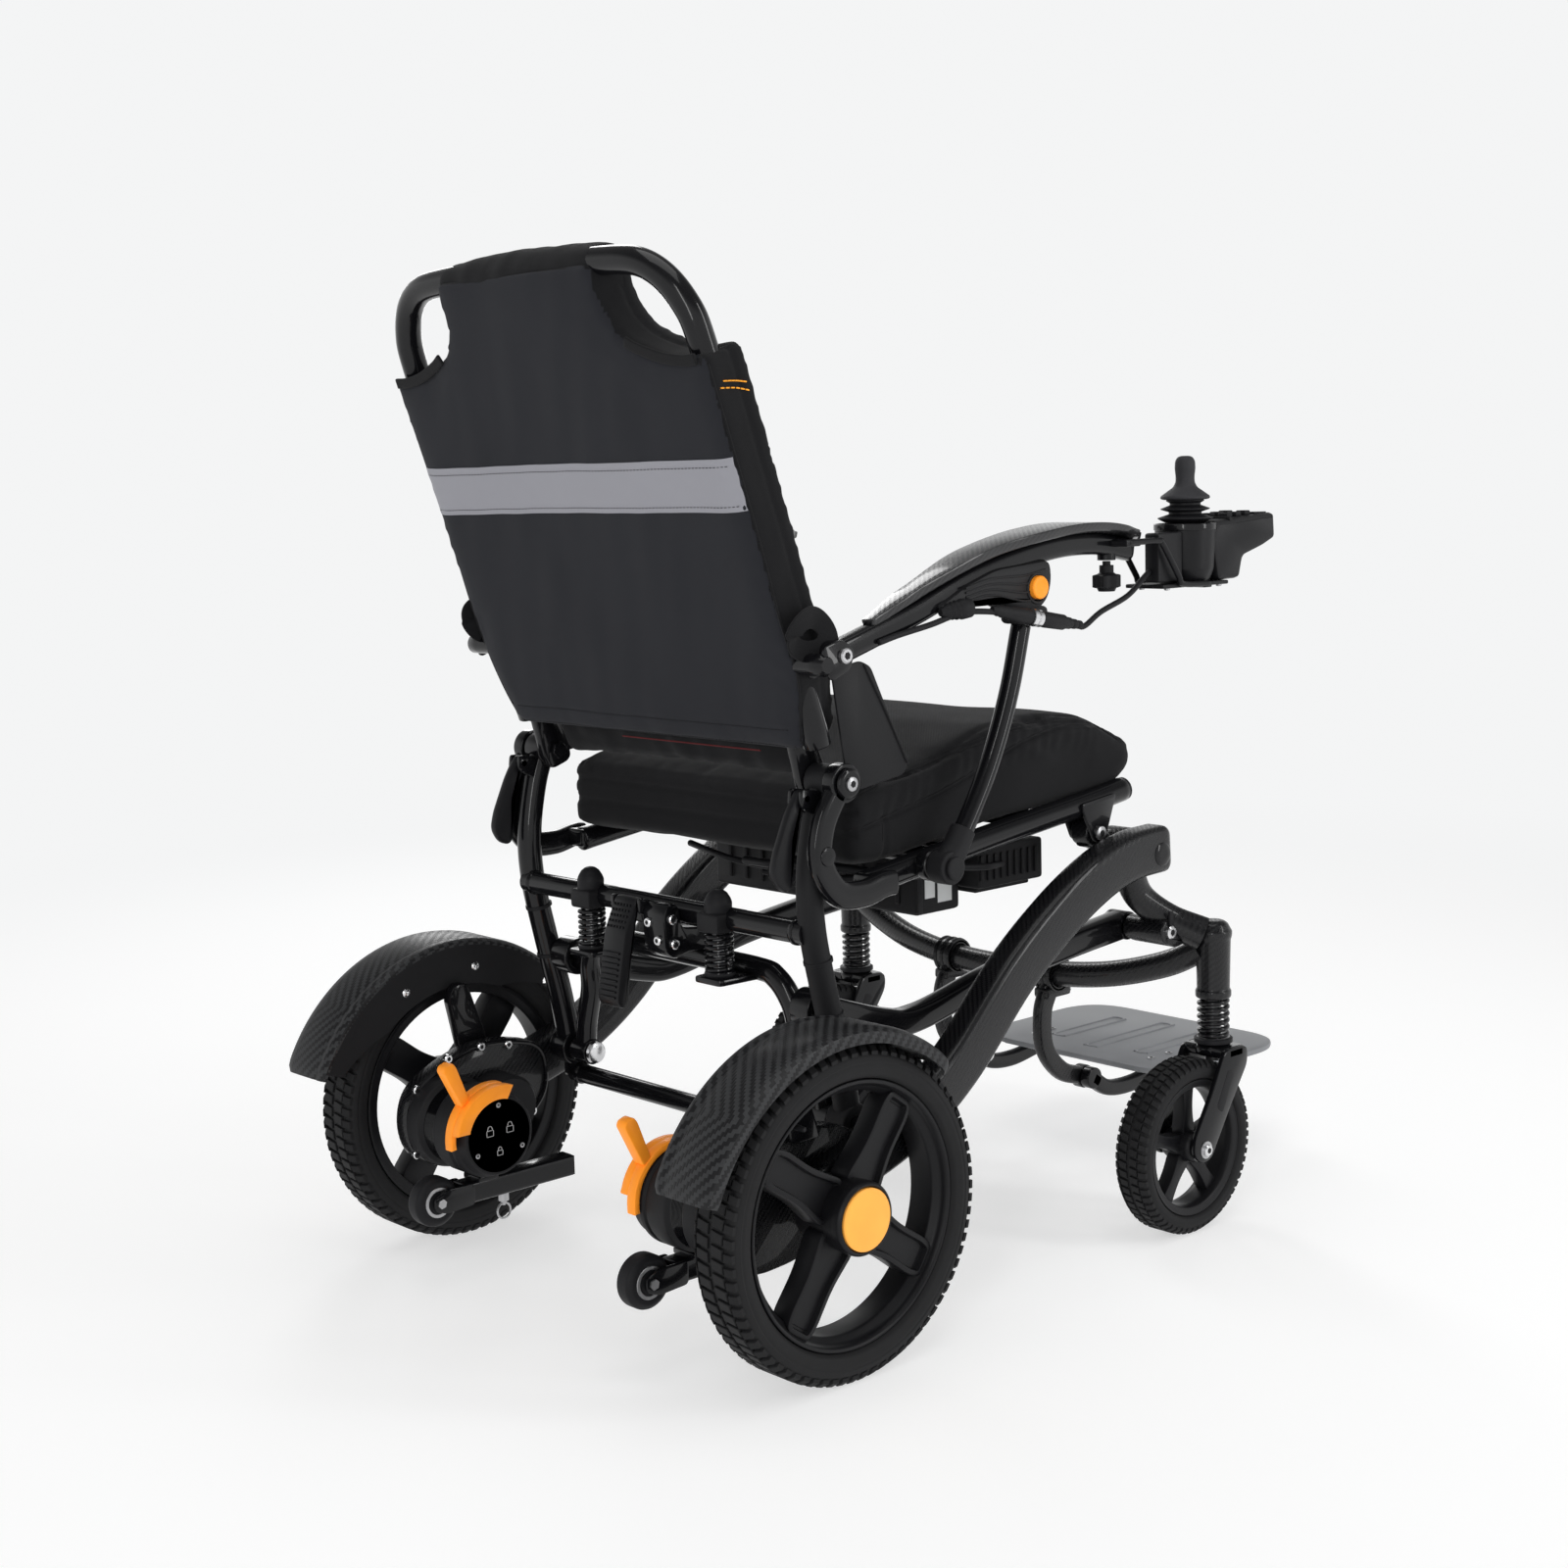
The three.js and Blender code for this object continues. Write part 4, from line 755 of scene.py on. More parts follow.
def treadBlocks(p, x, centre, radius, half, count, depth):
    # shoulder blocks, then a stepped rib of blocks each side of the middle
    rows = (
        (half - 7.5, half - 1.0, 0.0, 0.62), (-half + 1.0, -half + 7.5, 0.5, 0.62),
        (2.0, half - 9.0, 0.25, 0.74), (-half + 9.0, -2.0, 0.75, 0.74),
    )
    for low, high, phase, share in rows:
        for k in range(count):
            start = 2 * math.pi * (k + phase) / count
            width = 2 * math.pi * share / count
            def corner(offset, turn, r):
                return spot(x + offset, centre[0] + r * math.cos(turn), centre[1] + r * math.sin(turn))
            skew = width * 0.22
            rings = []
            for r, shrink in ((radius - depth * 1.8, 0), (radius - depth * 0.3, 0), (radius, 0.7)):
                edge = 0.06 * width if shrink else 0
                lowR = r - (depth * 1.9 if abs(low) > half - 6 else 0)
                highR = r - (depth * 1.9 if abs(high) > half - 6 else 0)
                rings.append([corner(low + shrink, start + edge, lowR), corner(high - shrink, start + edge + skew,
                        highR),
                              corner(high - shrink, start + width - edge + skew, highR),
                              corner(low + shrink, start + width - edge, lowR)])
            p.skin(rings, capStart=False)


def spokeOutline(centre, turn, inner, outer, root, neck, tip):
    def at(along, off):
        return (centre[0] + along * math.cos(turn) - off * math.sin(turn),
                centre[1] + along * math.sin(turn) + off * math.cos(turn))
    middle = inner + (outer - inner) * 0.45
    side = [(inner, root), (middle, neck), (outer - 14, neck * 1.08), (outer, tip)]
    points = [at(a, -b) for a, b in side] + [at(a, b) for a, b in reversed(side)]
    return softened(points, 12, True, 5)


def makeRearWheels():
    for name, side in sides:
        x, r, half, rim = side * rearWheel["x"], rearWheel["radius"], rearWheel["width"] / 2, rearWheel["rim"]
        p = Piece(f"rear_tyre_tread_{name}", f"rear_wheel_{name}", "tyre")
        wall = [(-half + 6, rim + 0.4), (-half + 1.6, rim + 4), (-half, rim + 12), (-half + 0.6, rim + 15),
                (-half, rim + 16),
                (-half + 1.2, r - 9), (-half + 4.5, r - 5), (-half + 11, r - 2.8), (0, r - 2.0)]
        profile = wall + [(-a, b) for a, b in reversed(wall[:-1])]
        p.turn((x, 0, r), softened(profile, 1.6, True, 3), count=112, closed=True)
        treadBlocks(p, x, (0, r), r, half, rearWheel["blocks"], 2.2)
        p.done([f"rear_tyre_{name}"])
        w = Piece(f"rear_rim_spokes_{name}", f"rear_wheel_{name}", "plastic")
        lip = softened([(-19, rim - 12), (-19, rim - 3), (-21, rim), (21, rim), (21, rim - 3), (18, rim - 5),
                        (14, rim - 6), (8, rim - 12)], 2, True, 3)
        w.turn((x, 0, r), [(side * a, b) for a, b in lip], count=112, closed=True)
        hub = softened([(-26, 10.5), (-26, 30), (10, 32), (26, 33.5), (32, 33), (35, 30.5), (34.4, 29), (32, 28.4),
                        (32, 0.5)], 1.5, False, 3)
        w.turn((x, 0, r), [(side * a, b) for a, b in hub], count=72)
        for k in range(4):
            outline = spokeOutline((0, r), rearWheel["spokeTurn"] + k * math.pi / 2, 22, rim - 6, 24, 17, 15)
            start, end = x - side * 8, x + side * 15
            points = [Vector((0, a, b)) for a, b in outline]
            w.slab(points, Vector((start, 0, 0)), Vector((end, 0, 0)), 2.2, hollow=(5.0, 5.0))
        w.use("yellow").turn((x, 0, r), [(side * 32.2, 28), (side * 35.6, 28), (side * 36.6, 27), (side * 37, 25.5),
                                         (side * 37, 0.5)], count=72)
        # ring of nuts round the hub's foot and the valve
        for k in range(4):
            turn = rearWheel["spokeTurn"] + math.pi / 4 + k * math.pi / 2
            w.screw((x + side * 27, 24 * math.cos(turn), r + 24 * math.sin(turn)), (side, 0, 0), 2.4, 1.6, "nickel")
        w.use("softRubber").turn((x + side * 8, (rim - 13) * math.cos(1.0), r + (rim - 13) * math.sin(1.0)),
                                 [(0, 3), (13, 2.4), (14, 1.6)], (side, 0, 0), 16)
        w.done([f"rear_rim_{name}"])


# casters: stem, spring, fork and wheel
def makeCasters():
    swivel = pivot("caster_swivel_left")
    hub = pivot("caster_spin_left")
    x0 = jointAt["caster_swivel_left"].x / mm
    for name, side in sides:
        x = side * x0
        r, half, rim = caster["radius"], caster["width"] / 2, caster["rim"]
        s = Piece(f"caster_coil_{name}", "front", "gloss")
        low, high, turns = 199.6, 235.0, 5
        coil = []
        for i in range(161):
            t = i / 160
            pitch = low + (high - low) * min(1, max(0, (t * (turns + 1) - 0.5) / turns))
            coil.append((x + 14.5 * math.cos(2 * math.pi * (turns + 1) * t),
                         swivel[0] + 14.5 * math.sin(2 * math.pi * (turns + 1) * t), pitch))
        s.sweep(coil, roundSection(2.6, 10), 1, side=(1, 0, 0), straight=True)
        made = s.done([f"caster_spring_{name}"])
        tuple(spot(x, swivel[0], 237.6))
        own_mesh(made)
        stem = Piece(f"caster_king_pin_{name}", f"stem_{name}", "nickel")
        stem.turn((x, swivel[0], 0), [(172, 1), (172, 8), (190.4, 8), (190.4, 17), (196.6, 17), (196.6, 8), (294, 8),
                                      (294, 1)], (0, 0, 1), 40)
        stem.use("softRubber").turn((x, swivel[0], 0), [(190.5, 18.5), (191.5, 20), (195.5, 20), (196.5, 18.5)],
                                    (0, 0, 1), 40)
        stem.done([f"caster_stem_{name}"])
        f = Piece(f"caster_fork_arms_{name}", f"fork_{name}", "gloss")
        crown = softened([(178, 9), (178, 17), (181, 20), (187, 20), (190, 17), (190, 8.5)], 1.6, False, 3)
        f.turn((x, swivel[0], 0), crown, (0, 0, 1), 48)
        f.slab([Vector((a, b, 0)) for a, b in softened([(x - half - 9, -588), (x + half + 9, -588),
                                                        (x + half + 9, -552), (x - half - 9, -552)], 8)],
               Vector((0, 0, 178)), Vector((0, 0, 189)), 2.5)
        leg = softened([(-589, 189), (-552, 189), (-530, 148), (-501, 104), (-501, 86), (-512, 77), (-528, 79),
                        (-560, 128), (-590, 170)], 9, True, 4)
        slotHole = softened([(-566, 164), (-556, 168), (-537, 132), (-546, 124)], 4)
        for start in (half + 3, -half - 9):
            f.plate(leg, x + start, x + start + 6, 1.6)
            f.use("matte")
            outer = x + start + (6.1 if start > 0 else -0.1)
            f.plate(slotHole, outer - 0.15, outer + 0.15, 0.05)
            f.use("gloss")
        for s2 in (-1, 1):
            f.use("nickel").turn((x + s2 * (half + 9), *hub), [(0, 9), (1.4, 9), (1.5, 5)], (s2, 0, 0), 32)
            f.screw((x + s2 * (half + 10.2), *hub), (s2, 0, 0), 6.2, 3.6)
        f.use("nickel").turn((x - half - 9, *hub), [(0, 5), (2 * half + 18, 5)], (1, 0, 0), 24)
        f.done([f"caster_fork_{name}"])
        t = Piece(f"caster_tyre_tread_{name}", f"caster_wheel_{name}", "tyre")
        wall = [(-half + 4, rim + 0.4), (-half + 0.8, rim + 3), (-half, rim + 8), (-half + 1, r - 8),
                (-half + 4, r - 4), (-half + 9, r - 2.3), (0, r - 1.8)]
        t.turn((x, *hub), softened(wall + [(-a, b) for a, b in reversed(wall[:-1])], 1.4, True, 3), count=88,
               closed=True)
        treadBlocks(t, x, hub, r, half, caster["blocks"], 2.2)
        t.done([f"caster_tyre_{name}"])
        w = Piece(f"caster_rim_spokes_{name}", f"caster_wheel_{name}", "plastic")
        lip = softened([(-15, rim - 8), (-16, rim - 2), (-17, rim), (17, rim), (16, rim - 2), (15, rim - 8),
                        (8, rim - 10), (-8, rim - 10)], 1.5, True, 3)
        w.turn((x, *hub), lip, count=88, closed=True)
        for s2 in (-1, 1):
            w.turn((x, *hub), [(0, 17), (s2 * 14, 16), (s2 * 18, 14), (s2 * 19, 12), (s2 * 19, 5.5)], count=48)
        for k in range(5):
            outline = spokeOutline(hub, caster["spokeTurn"] + k * math.tau / 5, 10, rim - 7, 11, 6.5, 9)
            points = [Vector((0, a, b)) for a, b in outline]
            w.slab(points, Vector((x - 8, 0, 0)), Vector((x + 8, 0, 0)), 1.6, hollow=(2.8, 2.5))
        w.done([f"caster_rim_{name}"])


makeBeams()
makeMotors()
makeFenders()
makeAntiTips()
makeRearWheels()
makeCasters()
print("chassis and wheels made")


# front frame: necks, fold bosses, head tubes and cross-beam
frontFrame = {
    "beam": [(-259, -562, 290), (-215, -556, 268), (-150, -545, 250), (-75, -537, 241), (0, -535, 239),
             (75, -537, 241), (150, -545, 250), (215, -556, 268), (259, -562, 290)],
    "thick": 14,
}


def makeFrontFrame():
    p = Piece("front_frame_cover", "front", "carbon")
    foldAt, seatAt, linkAt = pivot("front_fold"), pivot("seat_fold"), pivot("link_fold_left")
    stem = pivot("caster_swivel_left")
    x0 = jointAt["caster_swivel_left"].x / mm
    p.sweep(frontFrame["beam"], roundSection(frontFrame["thick"], 24), 90, side=(0, 0, 1))
    for _, side in sides:
        def across(points):
            return [(side * x, y, z) for x, y, z in points]
        # neck to the seat pivot, with its hollowed rear edge
        def neckSize(t):
            return (0.98 + 0.1 * (2 * t - 1) ** 2, 0.92 + 0.5 * (2 * t - 1) ** 2)
        p.sweep(across([(frameX, *seatAt), (frameX, -462, 407), (frameX, *foldAt)]), boxSection(20, 24, 8), 16,
                scale=neckSize)
        leg = [(frameX, *foldAt), (213, -499, 372), (217, -512, 346), (236, -535, 322), (261, -558, 306)]
        p.sweep(across(leg), boxSection(31, 31, 14), 32, scale=lambda t: (1.02 - 0.1 * math.sin(math.pi * t),
                1.12 - 0.2 * math.sin(math.pi * t)))
        head = softened([(238, 9), (238, 17), (240, 18.6), (246, 18.6), (248, 17), (300, 18), (304, 19.4),
                         (309, 19.4), (311, 18), (317, 15), (320, 10), (320, 0.5)], 1.8, False, 3)
        p.turn((side * x0, stem[0], 0), head, (0, 0, 1), 56)
        for at, x1, x2, r in ((foldAt, 198.5, 228.5, 23), (seatAt, 201, 223, 14), (linkAt, 197, 249, 13)):
            rim = softened([(0, 1), (0, r), (x2 - x1, r), (x2 - x1, 1)], 2.2, False, 3)
            p.turn((side * x1, *at), rim, (side, 0, 0), 48)
        web = softened([(-548, 298), (-530, 314), (-514, 312), (-514, 300), (-530, 294)], 6)
        p.plate(web, side * 197, side * 251, 3)
        p.use("gloss").turn((side * 164, *linkAt), [(0, 6), (48, 6)], (side, 0, 0), 20)
        p.use("gloss").turn((side * 164, *linkAt), [(0, 6), (0.4, 10), (4, 11), (4.1, 7)], (side, 0, 0), 28)
        p.screw((side * 249, *linkAt), (side, 0, 0), 7, 4)
        p.use("matte").block((side * 249, linkAt[0] - 3, linkAt[1] + 7), (side * 252, linkAt[0] + 3, linkAt[1] + 22),
                             1.2)
        p.use("gloss").turn((side * 228.6, *foldAt), [(-1, 12), (0.8, 12), (2.4, 9), (2.5, 4)], (side, 0, 0), 32)
        p.use("carbon")
    p.done(["front_frame"])


def makeFootrest():
    hinge = pivot("footplate_flip")
    for name, side in sides:
        p = Piece(f"hanger_arm_{name}", "front", "carbon")
        x = side * 75
        curve = [(-530, 226), (-519, 200), (-522, 160), (-548, 130), hinge]
        p.sweep(inPlane(x, curve), boxSection(12, 24, 5), 36, scale=lambda t: (1, 1.0 - 0.16 * t))
        # the clamp round the cross-beam, open in the middle for it
        for x1 in (x - 11, x - 1.5, x + 8):
            p.turn((x1, -536.6, 241.2), [(0, 14.5), (0, 19.5), (3, 20.6), (3, 14.5)], (1, 0, 0), 48, closed=True)
        p.turn((x - 11, -536.6, 241.2), softened([(0, 14.5), (0, 19), (22, 19), (22, 14.5)], 1.2), (1, 0, 0), 48,
               closed=True)
        p.block((x - 10, -556, 216), (x + 10, -516, 228), 4)
        p.screw((x - 5, -556, 222), (0, -1, 0), 3.2, 2.6)
        p.screw((x + 5, -556, 222), (0, -1, 0), 3.2, 2.6)
        p.turn((x - 6, *hinge), softened([(0, 4.6), (0, 13), (12, 13), (12, 4.6)], 1.4), (1, 0, 0), 40, closed=True)
        p.done([f"footrest_hanger_{name}"])
    f = Piece("footplate_tray", "footrest", "footGrey")
    half, back, front, z = 150, -652, -868, 112
    outline = softened([Vector(v) for v in ((-half, back, 0), (half, back, 0), (half, front, 0), (-half, front, 0))],
                       62, True, 12)
    f.slab(outline, Vector((0, 0, z)), Vector((0, 0, z + 6)), 1.6)
    # three pressed grooves and a turned-down lip
    for x, reach in ((-62, 58), (0, 72), (62, 58)):
        track = [(x - 9, -760 - reach, z + 5.9), (x + 9, -760 - reach, z + 5.9), (x + 9, -760 + reach, z + 5.9),
                 (x - 9, -760 + reach, z + 5.9)]
        f.sweep(softened([Vector(v) for v in track], 9, True, 6), roundSection(1.5, 8), 90, side=(0, 0, 1), loop=True)
    f.sweep([(p.x * 0.985, -760 + (p.y + 760) * 0.985, z + 1.5) for p in outline], roundSection(2.4, 8), 150,
            side=(0, 0, 1), loop=True)
    for name, side in sides:
        x = side * 88
        f.use("gloss").sweep(inPlane(x, [hinge, (-610, 101), (-650, 97), (-700, 104), (-730, 109)]),
                             boxSection(12, 18, 4), 30,
                             scale=lambda t: (1, 1 - 0.45 * max(0, t - 0.5)))
        f.turn((x - 6, *hinge), softened([(0, 1), (0, 12), (12, 12), (12, 1)], 1.5, False), (1, 0, 0), 40)
        f.turn((side * 67, *hinge), [(0, 4), (20, 4)], (side, 0, 0), 16)
        f.use("chrome").turn((side * 63, *hinge), [(0, 5), (0.6, 7.6), (4, 8), (4.1, 4)], (side, 0, 0), 24)
        for y in (-690, -722):
            f.screw((x, y, z + 6), (0, 0, 1), 4, 1.6, "nickel")
        f.use("footGrey")
    f.done(["footplate"])


# lower links and the latch hoop they end on
def makeLatch():
    rearAt, linkAt = pivot("hoop_swing"), pivot("link_fold_left")
    linkEnd = (-78, 300)
    for name, side in sides:
        x = side * 183
        p = Piece(f"lower_link_bar_{name}", f"link_{name}", "gloss")
        route = [linkAt, (-440, 304), (-320, 289), (-215, 268), (-165, 272), linkEnd]
        p.sweep(inPlane(x, route), boxSection(26, 28, 9), 60, scale=lambda t: (1, 0.86 + 0.2 * abs(2 * t - 1)))
        for at, r, hole in ((linkAt, 15, 7), (linkEnd, 19, 12.2)):
            rim = softened([(0, hole), (0, r), (26, r), (26, hole)], 2)
            p.turn((x - 13, *at), rim, (1, 0, 0), 48, closed=True)
        p.done([f"lower_link_{name}"])
    p = Piece("latch_hoop_tube", "hoop", "gloss")
    legs = [(184, *rearAt), (178, -90, 226), (160, -84, 268), (154, -79, 300), (137, -76, 322)]
    path = legs + [(109, -76, 328), (0, -76, 328), (-109, -76, 328)] + [(-x, y, z) for x, y, z in reversed(legs)]
    p.sweep(path, roundSection(11, 20), 150, side=(0, 1, 0))
    springTop = 366.6
    for name, side in sides:
        x = side * 97
        p.use("gloss").turn((side * 170, *rearAt), softened([(0, 8.6), (0, 13.5), (26, 13.5), (26, 8.6)], 1.6),
                            (side, 0, 0), 40, closed=True)
        p.turn((side * 157, *linkEnd), [(0, 4), (40, 4)], (side, 0, 0), 16)
        p.slab([Vector(v) for v in softened([(x - 21, -78, 0), (x + 21, -78, 0), (x + 19, -23, 0), (x - 19, -23, 0)],
                                            6)],
               Vector((0, 0, 319)), Vector((0, 0, 325)), 1.4)
        p.use("nickel").turn((x, -40, 0), [(320, 6), (springTop - 2, 6), (springTop, 4.5), (springTop, 0.5)],
                             (0, 0, 1), 24)
        p.use("matte").turn((x, -40, 0), [(325.1, 14), (327, 15), (329, 14.4), (329, 8)], (0, 0, 1), 32)
    p.done(["latch_hoop"])
    for name, side in sides:
        x = side * 97
        s = Piece(f"latch_coil_{name}", "hoop", "gloss")
        coil = []
        for i in range(181):
            t = i / 180
            z = 328.4 + (springTop - 2.4 - 328.4) * min(1, max(0, (t * 8 - 0.6) / 6.8))
            coil.append((x + 12 * math.cos(16 * math.pi * t), -40 + 12 * math.sin(16 * math.pi * t), z))
        s.sweep(coil, roundSection(2.2, 9), 1, side=(1, 0, 0), straight=True)
        s.done([f"latch_spring_{name}"])
    b = Piece("latch_block_plate", "hoop", "gloss")
    plate = softened([(-74, 341), (-40, 341), (-24, 336), (-12, 345), (-10, 380), (-18, 392), (-30, 388), (-33, 366),
                      (-62, 362)], 6)
    b.plate(plate, -52, -20, 2.2)
    b.block((-52, -80, 339.5), (-20, -62, 363), 2.5)
    b.block((-22, -33, 366), (24, -24, 388), 2)
    for x in (-20, 20):
        b.plate(softened([(-32, 376), (-8, 378), (-8, 394), (-32, 388)], 4), x, x + 4, 0.8)
    b.turn((-19, *pivot("pedal_press")), [(0, 3), (42, 3)], (1, 0, 0), 12)
    for y, z in ((-22, 352), (-20, 376)):
        b.screw((-52, y, z), (-1, 0, 0), 5, 4)
    b.screw((-44, -11.2, 356), (0, 1, 0), 4.6, 3.6)
    b.screw((-30, -11.2, 372), (0, 1, 0), 4.6, 3.6)
    b.done(["latch_block"])
    q = Piece("fold_pedal_pad", "pedal", "plastic")
    at = pivot("pedal_press")
    q.turn((-14, *at), softened([(0, 3.6), (0, 7), (32, 7), (32, 3.6)], 1.2), (1, 0, 0), 32, closed=True)
    q.plate(softened([(-14, 393), (-8, 391), (6, 362), (18, 296), (12, 288), (4, 292), (-4, 352), (-12, 380)], 5),
            -14, 18, 2.4)
    for k in range(9):  # gripping ribs at the lower end, knurls at the top
        z = 300 + k * 5.2
        y = 18.6 - (z - 296) * 0.17
        q.sweep([(-10, y, z), (2, y + 0.7, z), (14, y, z)], roundSection(1.1, 6), 8, side=(0, 0, 1))
    for row in range(5):
        for k in range(6):
            z = 366 + row * 5
            q.turn((-9 + k * 4.6, 4.6 - row * 2.35, z), [(-0.6, 1.4), (0.9, 1.1), (1.2, 0.4)], (0, 0.92, 0.39), 6)
    q.done(["fold_pedal"])


# uprights with their two cross tubes
uprightPath = [(-88, 225), (-80, 265), (-66, 320), (-53, 380), (-51, 430), (-60, 480)]


def makeRearFrame():
    p = Piece("rear_frame_tubes", "uprights", "gloss")
    rearAt, backAt = pivot("rear_frame_swing"), pivot("backrest_fold")
    p.sweep([(-frameX, -47, 379), (0, -47, 379), (frameX, -47, 379)], roundSection(11, 24), 20, side=(0, 1, 0))
    p.sweep([(-frameX, -98, 167), (0, -98, 167), (frameX, -98, 167)], roundSection(10, 24), 20, side=(0, 1, 0))
    for name, side in sides:
        x = side * frameX
        p.sweep(inPlane(x, [rearAt, *uprightPath, backAt]), roundSection(12.5, 28), 70)
        p.turn((x - 12.5, *rearAt), softened([(0, 8.6), (0, 18), (25, 18), (25, 8.6)], 2), (1, 0, 0), 48, closed=True)
        p.block((x - 10, -106, 162), (x + 10, -90, 188), 4)
        p.turn((x - 12.5, *backAt), softened([(0, 1), (0, 16), (25, 16), (25, 1)], 2, False), (1, 0, 0), 48)
        p.turn((side * 186.5, *backAt), [(0, 5), (55, 5)], (side, 0, 0), 20)
        p.use("gloss").turn((side * 241.2, *backAt), softened([(0, 9), (0, 14), (3.4, 13.6), (4.8, 11), (4.8, 0.5)],
                1, False), (side, 0, 0), 40)
        p.screw((side * 245.6, *backAt), (side, 0, 0), 6.5, 3, "nickel")
        p.turn((side * 182.5, *backAt), softened([(0, 0.5), (0, 9), (4, 9), (4, 5)], 0.8, False), (side, 0, 0), 6)
        # weld beads where the upper tube meets the upright
        p.use("gloss").turn((side * 198.5, -47, 379), [(-2.5, 11), (0, 12.6), (2.5, 12.4), (3.5, 11)], (side, 0, 0),
                            32)
        p.turn((side * 198.5, -98, 167), [(-2.5, 10), (0, 11.6), (2.5, 11.4), (3.5, 10)], (side, 0, 0), 32)
        ex = side * 97
        p.use("matte").block((ex - 15, -66, 367.2), (ex + 15, -25, 386), 3.5)
        cap = softened([(384, 0.5), (384, 13), (395, 13.4), (399, 12), (404, 9), (407, 5), (408, 0.5)], 1.2, False)
        p.use("softRubber").turn((ex, -40, 0), cap, (0, 0, 1), 40)
        p.use("gloss")
        for at in (-7, 7):
            p.plate(softened([(-62, 508), (-36, 512), (-34, 496), (-58, 484)], 5), x + at - 2, x + at + 2, 0.6)
        p.turn((x - 9, *pivot("paddle_squeeze_left")), [(0, 3), (18, 3)], (1, 0, 0), 16)
        # cable ties on the upright
        p.use("matte")
        for z, y in ((300, -71), (352, -59)):
            p.turn((x, y, z), [(-2, 13), (-1.6, 13.8), (1.6, 13.8), (2, 13)], (0, 0.2, 0.98), 32)
    p.done(["rear_frame"])
    for name, side in sides:
        q = Piece(f"release_lever_{name}", f"paddle_{name}", "plastic")
        outline = softened([(-46, 510), (-38, 511), (-24, 490), (-8, 455), (-4, 438), (-12, 424), (-24, 420),
                            (-29, 430), (-29, 468), (-45, 495)], 7, True, 5)
        x = side * frameX
        q.plate(outline, x - 4.5, x + 4.5, 2.6)
        q.done([f"release_paddle_{name}"])


